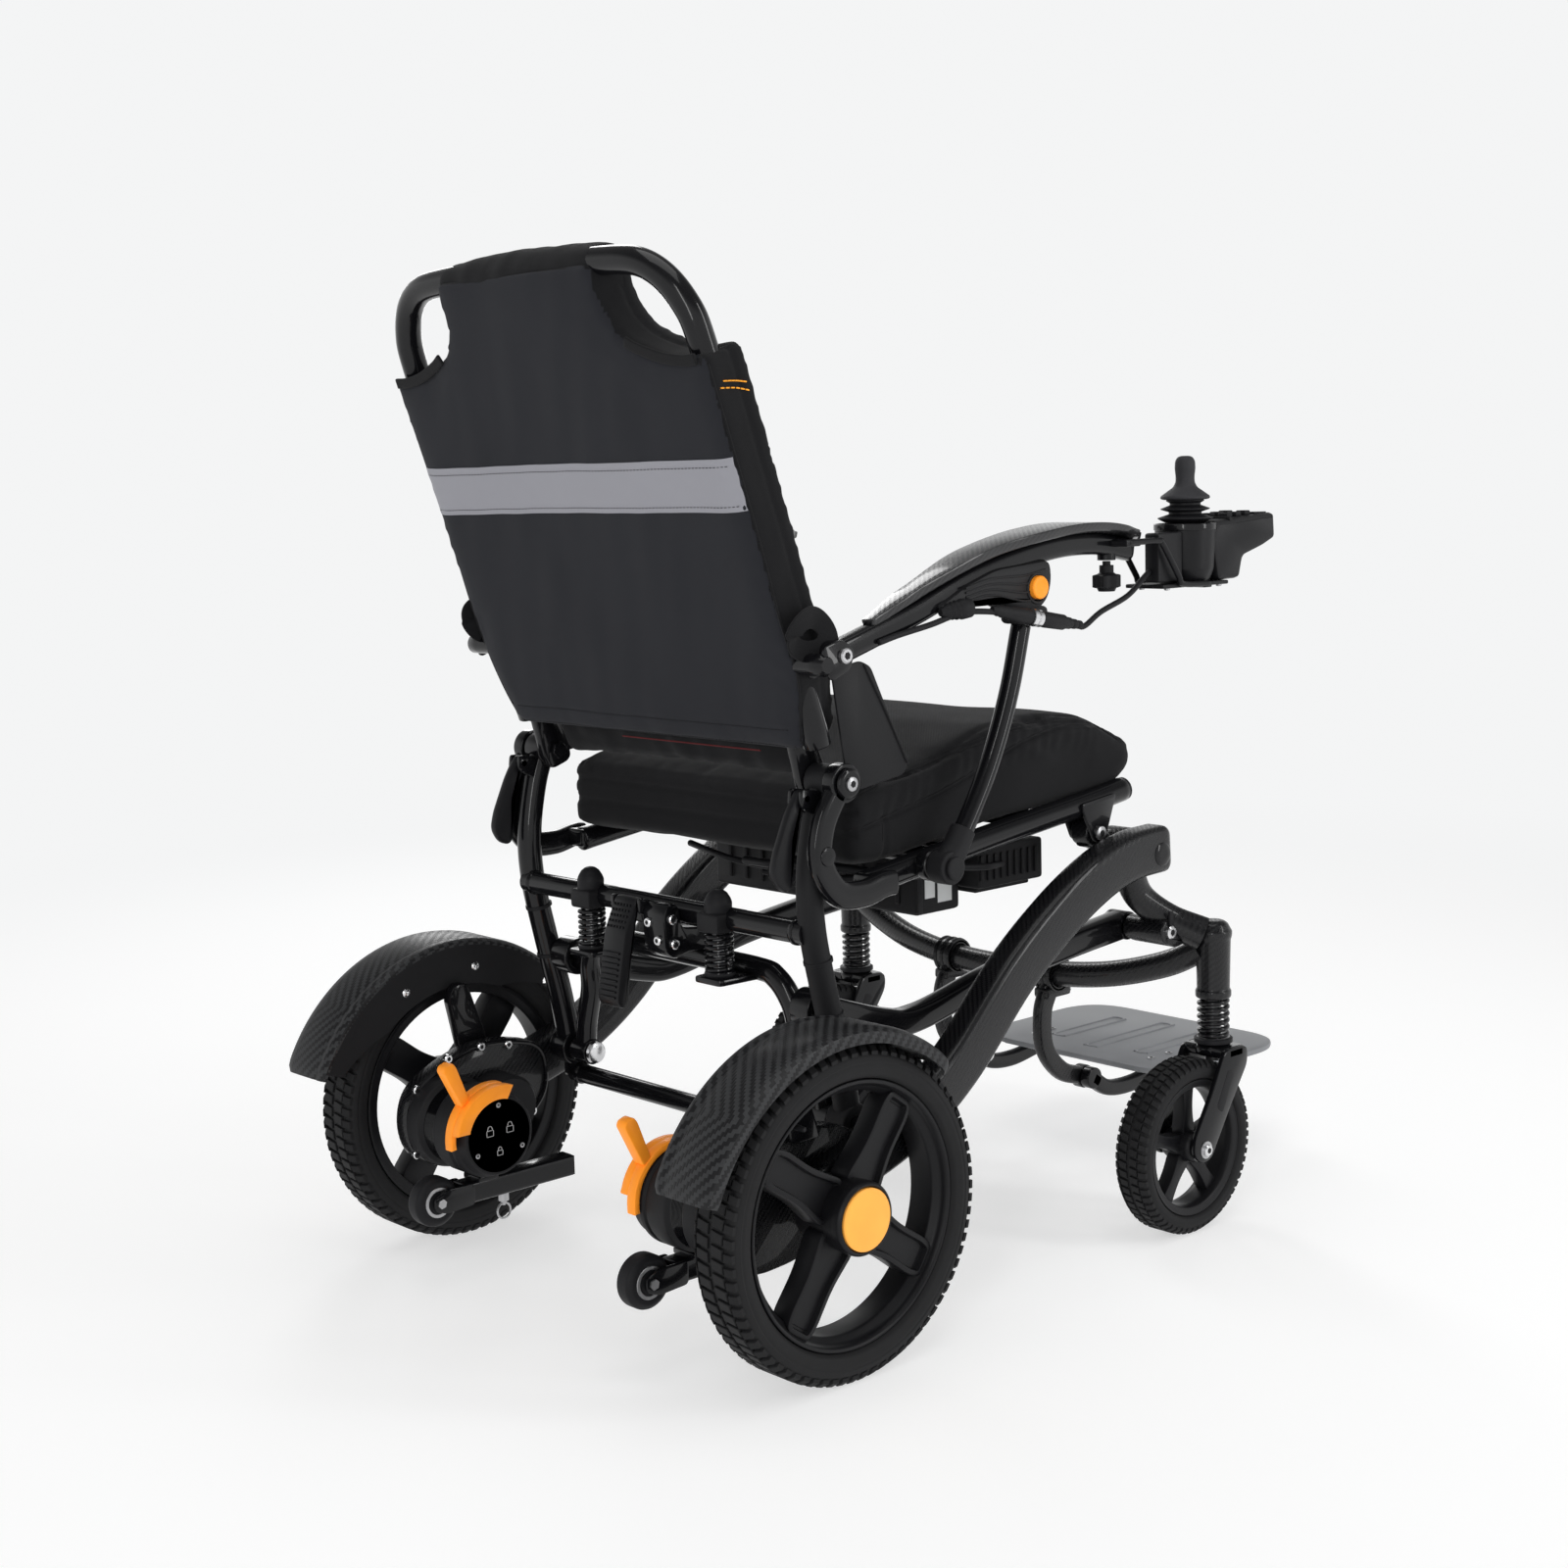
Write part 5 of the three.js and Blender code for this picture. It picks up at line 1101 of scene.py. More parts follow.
# seat frame, battery, control unit and the wiring under the seat
def makeSeatFrame():
    p = Piece("seat_frame_rails", "seat", "gloss")
    seatAt, backAt, strutAt = pivot("seat_fold"), pivot("backrest_fold"), pivot("strut_swing_left")
    rail = [(-118, 414), (-200, 425), (-300, 438), (-421, 452), (-488, 461)]
    for y, z in ((-215, 427), (-360, 445)):
        p.sweep([(-frameX, y, z), (0, y, z), (frameX, y, z)], roundSection(9, 20), 12, side=(0, 1, 0))
    for _, side in sides:
        x = side * frameX
        p.sweep(inPlane(x, rail), roundSection(12.5, 28), 40, endRound=2)
        hook = [(-136, 416), (-124, 416), (-96, 411), (-66, 416), (-46, 445), (-50, 480), backAt]
        p.sweep(inPlane(side * 233, hook), boxSection(14, 24, 6.5), 50,
                scale=lambda t: (1, 0.95 + 0.12 * math.sin(math.pi * t)), endRound=1)
        p.block((side * 204, -140, 406), (side * 238, -112, 425), 4)
        p.turn((side * 226, *backAt), softened([(0, 12), (0, 18), (14, 18), (14, 12)], 1.8), (side, 0, 0), 48,
               closed=True)
        # the round boss at the hook's elbow
        p.turn((side * 240, -48, 452), softened([(0, 1), (0, 9), (1.2, 8.4), (1.6, 4), (1.6, 0.5)], 0.5, False),
               (side, 0, 0), 32)
        cheek = softened([(-462, 462), (-408, 456), (-421, 428), (-427, 415), (-443, 415), (-449, 428)], 6)
        for at in (-16, 12):
            p.plate(cheek, side * (frameX + at), side * (frameX + at + 4), 1)
        p.turn((x - 15, *seatAt), [(0, 6), (30, 6)], (1, 0, 0), 20)
        for s in (-1, 1):
            p.screw((x + s * 16, *seatAt), (s, 0, 0), 7, 3.5, "nickel")
        p.use("gloss").turn((x, *strutAt), [(0, 6), (side * 49, 6)], (1, 0, 0), 20)
        p.turn((side * 222, *strutAt), softened([(0, 13), (4, 15), (14, 15), (17, 11), (17, 6)], 2, False),
               (side, 0, 0), 40)
        p.use("matte").turn((side * 261, *strutAt), softened([(0, 5), (0, 11), (3, 11), (4, 9), (4, 0.5)], 0.8,
                False), (side, 0, 0), 32)
        # plastic end plug of the rail
        p.use("matte").turn((x, -488.5, 461.1), [(0, 12), (3, 12), (4.4, 10), (4.6, 0.5)], (0, -0.99, 0.13), 32)
        p.use("gloss")
    p.done(["seat_frame"])
    b = Piece("battery_case", "seat", "matte")
    b.block((-150, -312, 356), (150, -250, 414), 5)
    b.block((-120, -300, 412), (120, -262, 419), 3)
    for k in range(11):
        x = -125 + k * 25
        b.plate(softened([(-249.4, 366), (-247.8, 367), (-247.8, 403), (-249.4, 404)], 0.5), x - 3, x + 3, 0.5)
    b.use("label")
    b.block((-150.5, -300, 366), (-149.9, -280, 392), 0.2)
    b.block((-150.5, -276, 372), (-149.9, -262, 398), 0.2)
    b.use("plastic").block((-151.5, -258, 358), (-148, -251, 410), 1)
    b.done(["battery"])
    c = Piece("control_unit_case", "seat", "matte")
    c.block((-172, -412, 376), (-20, -316, 418), 4)
    c.block((-160, -404, 370), (-32, -324, 377), 2)
    for k in range(9):
        y = -402 + k * 10
        c.plate(softened([(y, 384), (y + 4, 384), (y + 4, 410), (y, 410)], 1), -174.2, -171.6, 0.5)
    c.use("label").block((-110, -412.5, 384), (-60, -411.9, 404), 0.2)
    c.done(["control_unit"])
    w = Piece("seat_harness", "seat", "softRubber")
    runs = (
        ([(-150, -262, 400), (-168, -232, 402), (-160, -196, 408), (-110, -172, 412), (-40, -166, 408),
          (20, -178, 404)], 4.2),
        ([(-172, -350, 398), (-188, -310, 402), (-186, -262, 408), (-174, -226, 410), (-150, -190, 404),
          (-90, -160, 398)], 3.4),
        ([(-60, -316, 396), (-40, -240, 402), (-10, -196, 398), (40, -176, 404), (120, -190, 410)], 3.4),
        ([(-120, -316, 404), (-128, -236, 400), (-90, -196, 396), (-30, -158, 400)], 2.6),
    )
    for run, r in runs:
        w.sweep(run, roundSection(r, 12), 48, side=(0, 0, 1), endRound=1)
    w.use("matte").turn((-60, -170, 400), softened([(0, 6), (0, 9), (26, 9), (26, 6)], 1.5, False), (1, 0.15, 0), 24)
    w.done()


makeFrontFrame()
makeFootrest()
makeLatch()
makeRearFrame()
makeSeatFrame()
print("frames made")


# padded fabric: the shape is remeshed, blown up as cloth, and held near where it began
softGoods = {"voxel": 0.006, "pressure": 4.0, "frames": 20, "quality": 4}


def freeze(made):  # the object's modifiers become its mesh
    seen = made.evaluated_get(bpy.context.evaluated_depsgraph_get())
    mesh = bpy.data.meshes.new_from_object(seen)
    made.modifiers.clear()
    made.data = mesh


def swell(made, cap):
    remesh = made.modifiers.new("remesh", "REMESH")
    remesh.mode = "VOXEL"
    remesh.voxel_size = softGoods["voxel"]
    freeze(made)
    before = [vertex.co.copy() for vertex in made.data.vertices]
    cloth = made.modifiers.new("cloth", "CLOTH")
    cloth.settings.quality = softGoods["quality"]
    cloth.settings.use_pressure = True
    cloth.settings.uniform_pressure_force = softGoods["pressure"]
    cloth.settings.effector_weights.gravity = 0
    for step in range(1, softGoods["frames"] + 1):
        scene.frame_set(step)
    freeze(made)
    scene.frame_set(1)
    for vertex, start in zip(made.data.vertices, before):
        moved = vertex.co - start
        if moved.length > cap * mm:
            vertex.co = start + moved.normalized() * (cap * mm)
    rounder = made.modifiers.new("rounder", "SUBSURF")
    rounder.levels = 1
    freeze(made)
    for polygon in made.data.polygons:
        polygon.use_smooth = True
    return made


# every point moves along its normal by what push says of its place and the way it faces
def press(made, push):
    mesh = made.data
    moves = []
    for vertex in mesh.vertices:
        moves.append(vertex.normal * (push(local(vertex.co), vertex.normal) * mm))
    for vertex, move in zip(mesh.vertices, moves):
        vertex.co += move
    mesh.update()


def dressed(made, keys, choose):  # choose gives the number of a face's finish
    made.data.materials.clear()
    for key in keys:
        made.data.materials.append(finish[key])
    for polygon in made.data.polygons:
        polygon.material_index = choose(local(polygon.center), polygon.normal)


def valley(distance, width):
    return math.exp(-(distance / width) ** 2)


def nearest(point, line):  # distance from a flat point to a line of flat points
    best = 1e9
    px, py = point
    for (ax, ay), (bx, by) in zip(line, line[1:]):
        dx, dy = bx - ax, by - ay
        t = max(0, min(1, ((px - ax) * dx + (py - ay) * dy) / (dx * dx + dy * dy)))
        best = min(best, math.hypot(px - ax - dx * t, py - ay - dy * t))
    return best


# points laid onto a made surface: from each start the ray follows aim until it meets it
def laid(tree, starts, aim, lift):
    found = []
    for start in starts:
        hit = tree.ray_cast(spot(*start), Vector(aim))[0]
        if hit:
            at = hit - Vector(aim).normalized() * (lift * mm)
            found.append(local(at))
    return found


def surfaceOf(made):
    return BVHTree.FromPolygons([v.co for v in made.data.vertices], [p.vertices for p in made.data.polygons])


# backrest
backrest = {
    "recline": math.atan2(122, 355), "tubeX": 216, "tubeR": 12.5, "tubeStart": 36, "tubeTop": 402, "topBend": 85,
    "armAlong": 118, "rear": -18, "front": 30, "swell": 3, "bandLow": 264, "bandHigh": 312,
}
leaning = backrest["recline"]
backForward = Vector((0, -math.cos(leaning), math.sin(leaning)))
backUp = Vector((0, math.sin(leaning), math.cos(leaning)))


def backPlace(x, along, forward=0):
    hingeY, hingeZ = pivot("backrest_fold")
    y = hingeY + along * math.sin(leaning) - forward * math.cos(leaning)
    z = hingeZ + along * math.cos(leaning) + forward * math.sin(leaning)
    return (x, y, z)


def backLocal(at):  # distance up the backrest and forward of its tubes
    hingeY, hingeZ = pivot("backrest_fold")
    y, z = at[1] - hingeY, at[2] - hingeZ
    return y * math.sin(leaning) + z * math.cos(leaning), -y * math.cos(leaning) + z * math.sin(leaning)


def makeBackrestFrame():
    p = Piece("backrest_tube", "backrest", "gloss")
    top, bend, wide = backrest["tubeTop"], backrest["topBend"], backrest["tubeX"]
    half = [(wide, backrest["tubeStart"]), (wide, 223), (wide, top - 10), (wide - bend * 0.1, top + bend * 0.5),
            (wide - bend * 0.5, top + bend * 0.9), (wide - bend * 1.2, top + bend), (0, top + bend)]
    path = [backPlace(x, along) for x, along in half] + [backPlace(-x, along) for x, along in half[-2::-1]]
    p.sweep(path, roundSection(backrest["tubeR"], 32), 150, side=(0, 1, 0), endRound=2)
    armAt, arm = backrest["armAlong"], 250
    for _, side in sides:
        plate = [backPlace(0, along, out)[1:] for along, out in
                 ((-17, -9), (-13, -15), (0, -17), (50, -13), (56, -8), (56, 8), (50, 13), (0, 17), (-13, 15),
                  (-17, 9))]
        p.plate(softened(plate, 4), side * 188.5, side * 198.5, 2.2)
        p.turn((side * 190, *backPlace(0, 48)[1:]), [(0, 9), (4, 13), (16, 13), (26, 11)], (side, 0, 0), 32)
        p.screw((side * 188.5, *backPlace(0, 48)[1:]), (-side, 0, 0), 6, 3.5, "nickel")
        ear = [backPlace(0, armAt + a, f)[1:] for a, f in ((-16, -6), (-14, 20), (0, 30), (14, 20), (16, -6))]
        for x1 in (-15, 10.5):
            p.plate(softened(ear, 6), side * (arm + x1), side * (arm + x1 + 4.5), 1.3)
        p.turn((side * wide, *backPlace(0, armAt, -6)[1:]), [(0, 9), (34, 10), (46, 10), (50, 7), (50, 0.5)],
               (side, 0, 0), 28)
        pin = backPlace(side * (arm - 14), armAt, 16)
        p.use("chrome").turn(pin, [(0, 5), (28, 5)], (side, 0, 0), 24)
        p.screw(backPlace(side * (arm + 15), armAt, 16), (side, 0, 0), 7, 4, "nickel")
        p.use("gloss")
    p.done(["backrest_frame"])


# outline of the fabric as (x, distance up), right half from the bottom
def fabricHalf():
    scoop = [(206, 401), (181, 405), (154, 414), (134, 425), (122, 440), (117, 460), (115, 492)]
    return [(0, 34), (208, 34), (216, 42), (235, 106), (235, 398), (229, 402), *scoop, (0, 498)]


def makeBackrestCover():
    p = Piece("backrest_fabric", "backrest", "backCloth")
    half = fabricHalf()
    loop = half[:-1] + [(-x, along) for x, along in reversed(half[1:-1])]
    points = softened([Vector(backPlace(x, along)) for x, along in loop], 8, True, 4)
    rear, front = backrest["rear"], backrest["front"]
    p.slab(points, backForward * rear, backForward * front, 3)
    made = swell(p.done(["backrest_cover"]), backrest["swell"])

    def folds(at, normal):
        along, forward = backLocal(at)
        x = at[0]
        facing = normal.dot(backForward)
        if facing < -0.5:  # the stretched rear panel: long soft creases, flat at its edges
            drift = noise.noise(Vector((x * 0.008 + along * 0.0035, along * 0.006, 3.1)))
            crease = 1.6 * noise.noise(Vector((x * 0.03 + along * 0.01, along * 0.011, 7.7)))
            hollow = math.cos(min(abs(x) / 235, 1) * math.pi / 2) * math.sin(max(0,
                    min(1, (along - 34) / 370)) * math.pi)
            hem = valley(along - 58, 2.2) * 0.7
            return -3.5 * hollow + drift * 2.2 + crease * 0.9 - hem
        if facing > 0.5:  # the front pad, sewn in three channels
            seams = 5 * valley(abs(x) - 96, 7) + 4 * valley(along - 150, 6) + 4 * valley(along - 300, 6)
            return -seams + noise.noise(Vector((x * 0.03, along * 0.03, 1.3))) * 1.2
        rumple = noise.noise(Vector((forward * 0.05, along * 0.035, 5.0)))
        return rumple * 1.1 - 1.6 * valley(forward - 14, 2.0)
    press(made, folds)
    dressed(made, ("backCloth", "seatCloth"), lambda at, normal: 0 if normal.dot(backForward) < -0.62 else 1)
    tree = surfaceOf(made)
    rearAim = tuple(backForward)

    def onRear(line, lift):
        return laid(tree, [backPlace(x, along, -80) for x, along in line], rearAim, lift)

    # bound edges of the scoops and of the top of each sleeve
    b = Piece("backrest_binding", "backrest", "binding")
    for _, side in sides:
        edge = [(224, 402), (206, 402), (181, 406), (154, 415), (140, 422)]
        line = [backPlace(side * x, along - 2.5, rear - 1.6) for x, along in edge]
        b.sweep(line, boxSection(3.2, 10, 1.4), 44, side=tuple(backForward), endRound=0.6)
        b.sweep([backPlace(side * 226, 396, f) for f in (rear + 1, -6, 6, 14, front - 9)], boxSection(8, 2.4, 1.0),
                16,
                side=tuple(backUp), endRound=0.6)
        # the seam between rear panel and side gusset
        seam = onRear([(side * x, along) for x, along in ((231.5, 392), (231.5, 340), (231.5, 280), (231.5, 220),
                (231.5, 160), (231.5, 112), (221, 74), (212, 46))], 0.2)
        if len(seam) > 3:
            b.sweep(seam, roundSection(1.1, 8), 60, endRound=0.5)
    b.done()

    # grey reflective band with its two rows of stitches
    r = Piece("reflective_band", "backrest", "reflective")
    columns = 60
    rows = []
    for along in (backrest["bandLow"], 272, 280, 288, 296, 304, backrest["bandHigh"]):
        rows.append(onRear([(-230.5 + 461 * i / columns, along) for i in range(columns + 1)], 0.9))
    rings = [[spot(*q) for q in row] for row in rows]
    under = [[v + backForward * 0.0016 for v in ring] for ring in rings]
    r.skin([[*top, *reversed(low)] for top, low in zip(rings, under)])
    r.done(angle=60)
    s = Piece("back_stitching", "backrest", "darkThread")
    for along, lift in ((backrest["bandLow"] + 5, 1.3), (backrest["bandHigh"] - 7, 1.3), (58, 0.5), (40, 0.5)):
        wide = 204 if along < 100 else 225
        line = onRear([(-wide + 2 * wide * i / 24, along) for i in range(25)], lift)
        s.stitches(line, 96 if along > 100 else 84, 2.6, 0.6, 0, tuple(-backForward))
    for _, side in sides:
        for line in (((375, -4), (371, 9), (366, 21)), ((370.5, -9), (365, 8), (358, 22))):
            path = laid(tree, [(side * 300, *backPlace(0, *q)[1:]) for q in line], (-side, 0, 0), 0.6)
            s.stitches(path, 6, 3.8, 1.3, 0, (side, 0, 0), "orangeThread")
    s.use("redPiping").sweep([backPlace(x, 35.5, rear - 2.2) for x in (-160, -110, -60, -10, 40)],
                             roundSection(0.7, 8), 30, side=(0, 1, 0))
    s.done()

    # the pad wrapped over the top bar, closed with a seam along its back
    t = Piece("top_pad", "backrest", "seatCloth")
    section = softened([(27, 22), (-26, 22), (-26, -21), (27, -21)], 15, True, 5)
    t.sweep([backPlace(x, 472 + 4 * math.cos(x / 80), 6) for x in (-112, -60, 0, 60, 112)], section, 40,
            side=tuple(backUp), scale=lambda k: (1, 0.96 + 0.08 * math.sin(k * math.pi)), endRound=4)
    pad = swell(t.done(), 3)
    press(pad, lambda at, normal: noise.noise(Vector((at[0] * 0.05, at[1] * 0.03, at[2] * 0.03))) * 1.3)

    # the pad's lower edge, hanging below the rear panel
    q = Piece("lumbar_pad", "backrest", "seatCloth")
    q.slab(softened([Vector(backPlace(x, along)) for x, along in ((-176, -4), (176, -4), (182, 8), (178, 44),
            (-178, 44), (-182, 8))], 8),
           backForward * 4, backForward * 26, 8)
    low = swell(q.done(), 3)
    press(low, lambda at, normal: noise.noise(Vector((at[0] * 0.045, at[1] * 0.02, at[2] * 0.05))) * 2.2)


def makeSideGuards():
    for name, side in sides:
        g = Piece(f"side_guard_{name}", "backrest", "guard")
        outline = softened([(-68, 616), (-104, 622), (-117, 616), (-163, 522), (-156, 513), (-98, 505), (-84, 520)],
                           5)
        g.plate(outline, side * 226.5, side * 229, 0.9)
        g.use("binding").sweep([(side * 229, y, z) for y, z in ((-108, 618), (-135, 572), (-161, 524))],
                               roundSection(1.2, 8), 20, endRound=0.4)
        g.done()
        # hook-and-loop strap that holds the sleeve round the arm's pivot
        h = Piece(f"arm_strap_{name}", "backrest", "binding")
        centre = Vector(backPlace(side * 243, backrest["armAlong"] + 24, 4))
        ring = []
        for i in range(36):
            turn = 2 * math.pi * i / 36
            ring.append(centre + Vector((0, 20 * math.cos(turn),
                                         15 * math.sin(turn))) + Vector((side * 3 * math.sin(turn * 2), 0, 0)))
        h.sweep([tuple(v) for v in ring], boxSection(2.2, 20, 0.9), 72, side=(side, 0, 0), loop=True)
        h.done()


# seat cushion
cushion = {
    "half": 218, "swell": 5,
    "outline": [(-100, 431), (-100, 488), (-103, 501), (-130, 507), (-180, 510), (-222, 517), (-262, 530),
                (-305, 541), (-350, 545),
                (-400, 545), (-446, 540), (-482, 526), (-512, 511), (-518, 495), (-512, 478), (-492, 465),
                (-440, 457),
                (-380, 451), (-300, 446), (-200, 434), (-136, 429)],
    "upperSeam": [(-98, 492), (-150, 503), (-215, 512), (-270, 525), (-330, 537), (-400, 539), (-450, 533),
                  (-490, 512)],
    "lowerSeam": [(-98, 462), (-160, 474), (-220, 487), (-280, 505), (-340, 524), (-400, 534), (-450, 531)],
}


def makeCushion():
    p = Piece("cushion", "seat", "seatCloth")
    half = cushion["half"] - cushion["swell"] + 2
    inner = [(y + 3 if y < -300 else y - 3, z - 3 if z > 490 else z + 2) for y, z in cushion["outline"]]
    outline = softened(inner, 8, True, 3)
    p.slab([Vector((0, y, z)) for y, z in outline], Vector((-half, 0, 0)), Vector((half, 0, 0)), 12)
    made = swell(p.done(["seat_cushion"]), cushion["swell"])
    upper, lower = cushion["upperSeam"], cushion["lowerSeam"]

    def sewn(at, normal):
        x, y, z = at
        push = noise.noise(Vector((x * 0.012, y * 0.012, z * 0.02))) * 1.6
        if abs(normal.x) > 0.3:
            near = nearest((y, z), upper)
            below = nearest((y, z), lower)
            push -= 2.6 * valley(near, 2.6) + 2.4 * valley(below, 2.6)
            between = valley(below - 10, 12) * (1 if near < 30 else 0)
            loose = 0.5 + noise.noise(Vector((y * 0.02, z * 0.02, 9.0)))
            push += 0.8 * loose * math.sin(y * 0.4 + z * 0.16 + 2 * noise.noise(Vector((y * 0.03, 0,
                    4.0)))) * between * abs(normal.x)
            push -= 2.0 * valley(y + 150, 2.2) * (1 if z < 478 else 0)
        if normal.z > 0.4:
            push -= 2.4 * valley(abs(x) - 196, 3.2)
            push -= math.cos(x / 200 * math.pi)
        if normal.y > 0.4:
            push -= 3.2 * valley(z - 481, 3.4) + 3.0 * valley(z - 459, 3.2)
        return push
    press(made, sewn)
    tree = surfaceOf(made)
    s = Piece("cushion_stitching", "seat", "darkThread")
    for _, side in sides:
        for line, shift in ((upper, 3.6), (lower, -3.6)):
            path = laid(tree, [(side * 300, y, z + shift) for y, z in through(line, 30)], (-side, 0, 0), 0.3)
            s.stitches([tuple(q) for q in path], 110, 2.2, 0.55, 0, (side, 0, 0))
            cord = laid(tree, [(side * 300, y, z) for y, z in through(line, 30)], (-side, 0, 0), 0.1)
            s.use("binding").sweep(cord, roundSection(0.9, 8), 90, side=(side, 0, 0), endRound=0.4)
        path = laid(tree, [(side * 300, -146, z) for z in range(450, 478, 4)], (-side, 0, 0), 0.3)
        s.stitches(path, 9, 2.2, 0.55, 0, (side, 0, 0))
    s.done()


# armrests
armrest = {
    "x": 250, "path": [(-150, 662), (-235, 692), (-330, 712), (-400, 715), (-452, 707)],
    "padRidge": [(-96, 658), (-150, 682), (-235, 713), (-330, 730), (-400, 732), (-464, 721)],
    "padHalf": ((0, 8), (0.2, 13), (0.4, 21), (0.58, 28), (0.72, 29.5), (0.86, 28), (0.94, 22), (1, 9)),
}


def between(stops, t):
    for (a, va), (b, vb) in zip(stops, stops[1:]):
        if t <= b:
            k = (t - a) / (b - a)
            k = k * k * (3 - 2 * k)
            return va + (vb - va) * k
    return stops[-1][1]


def makeArmrests():
    for name, side in sides:
        x = side * armrest["x"]
        body = f"arm_{name}"
        armAt = pivot(f"arm_lift_{name}")
        p = Piece(f"arm_rail_{name}", body, "gloss")
        p.sweep(inPlane(x, [armAt, *armrest["path"]]), boxSection(20, 22, 8), 60, endRound=2)
        p.turn((x - 8, *armAt), softened([(0, 1), (0, 13), (16, 13), (16, 1)], 1.6), (1, 0, 0), 40)
        p.use("chrome").turn((x, -447, 708), [(0, 3), (6, 3)], (0, -1, -0.12), 20)
        p.done([f"armrest_{name}"])
        # lock housing: ribbed body, push-button seat and the strut's collar
        h = Piece(f"lock_housing_{name}", body, "satinHousing")
        outline = [(-324, 704), (-327, 684), (-321, 666), (-308, 656), (-284, 653), (-252, 666), (-214, 664),
                   (-176, 662), (-172, 668), (-210, 686), (-248, 698)]
        h.plate(softened(outline, 9), x - 15, x + 15, 6)
        for k in range(4):
            line = [(-314 + k * 2, 694 - k * 8), (-285, 690 - k * 8), (-240, 689 - k * 5), (-205, 682 - k * 4)]
            h.sweep([(x + side * 15.2, y, z) for y, z in line], roundSection(1.1, 8), 24, endRound=0.5)
        h.turn((x + side * 10, -303, 677), softened([(0, 12.2), (0, 15), (6.5, 15), (6.5, 12.2)], 1.2), (side, 0, 0),
               48, closed=True)
        h.block((x - 13, -322, 644), (x + 13, -280, 660), 6)
        h.done()
        b = Piece(f"push_button_{name}", f"button_{name}", "orange")
        b.turn((x, -302, 678), softened([(13.5, 0.5), (13.5, 11), (20.2, 11), (21.4, 9.6), (20.4, 6), (20, 0.5)], 0.8,
                                        False, 4), (side, 0, 0), 48)
        b.done([f"lock_button_{name}"])
        # the leaf-shaped pad
        c = Piece(f"pad_{name}", body, "armCarbon")
        ridge = [(x, y, z) for y, z in armrest["padRidge"]]
        section = softened([(29, -5), (26, 4.5), (14, 6.6), (0, 7.2), (-14, 6.6), (-26, 4.5), (-29, -5)], 2.5, True,
                           3)
        c.sweep([(q[0], q[1], q[2] - 1) for q in ridge], [Vector((p[0], -p[1])) for p in section], 90,
                scale=lambda t: (between(armrest["padHalf"], t) / 29,
                                 0.75 + 0.25 * math.sin(math.pi * min(1, t * 1.1))), endRound=3)
        c.done([f"arm_pad_{name}"])
        # strut with its end castings
        foot = pivot(f"strut_swing_{name}")
        s = Piece(f"strut_{name}", f"strut_{name}", "gloss")
        s.sweep(inPlane(x, [foot, (-222, 470), (-252, 520), (-278, 580), (-296, 642)]), roundSection(9.6, 28), 60)
        s.plate(softened([(-304, 636), (-288, 636), (-292, 674), (-308, 674)], 3), x - 4, x + 4, 1)
        s.use("matte").sweep(inPlane(x, [(foot[0] - 2, foot[1] + 4), (-200, 440), (-212, 457)]),
                             roundSection(12.6, 28), 16,
                             scale=lambda t: (1.1 - 0.14 * t, 1.1 - 0.14 * t), endRound=1)
        s.turn((x - 10.5, *foot), softened([(0, 1), (0, 16), (21, 16), (21, 1)], 2.5), (1, 0, 0), 48)
        s.screw((x + side * 10.5, *foot), (side, 0, 0), 7.5, 4, "nickel")
        s.done([f"arm_strut_{name}"])


# drive controller
drive = {"x": -250, "y": -546}


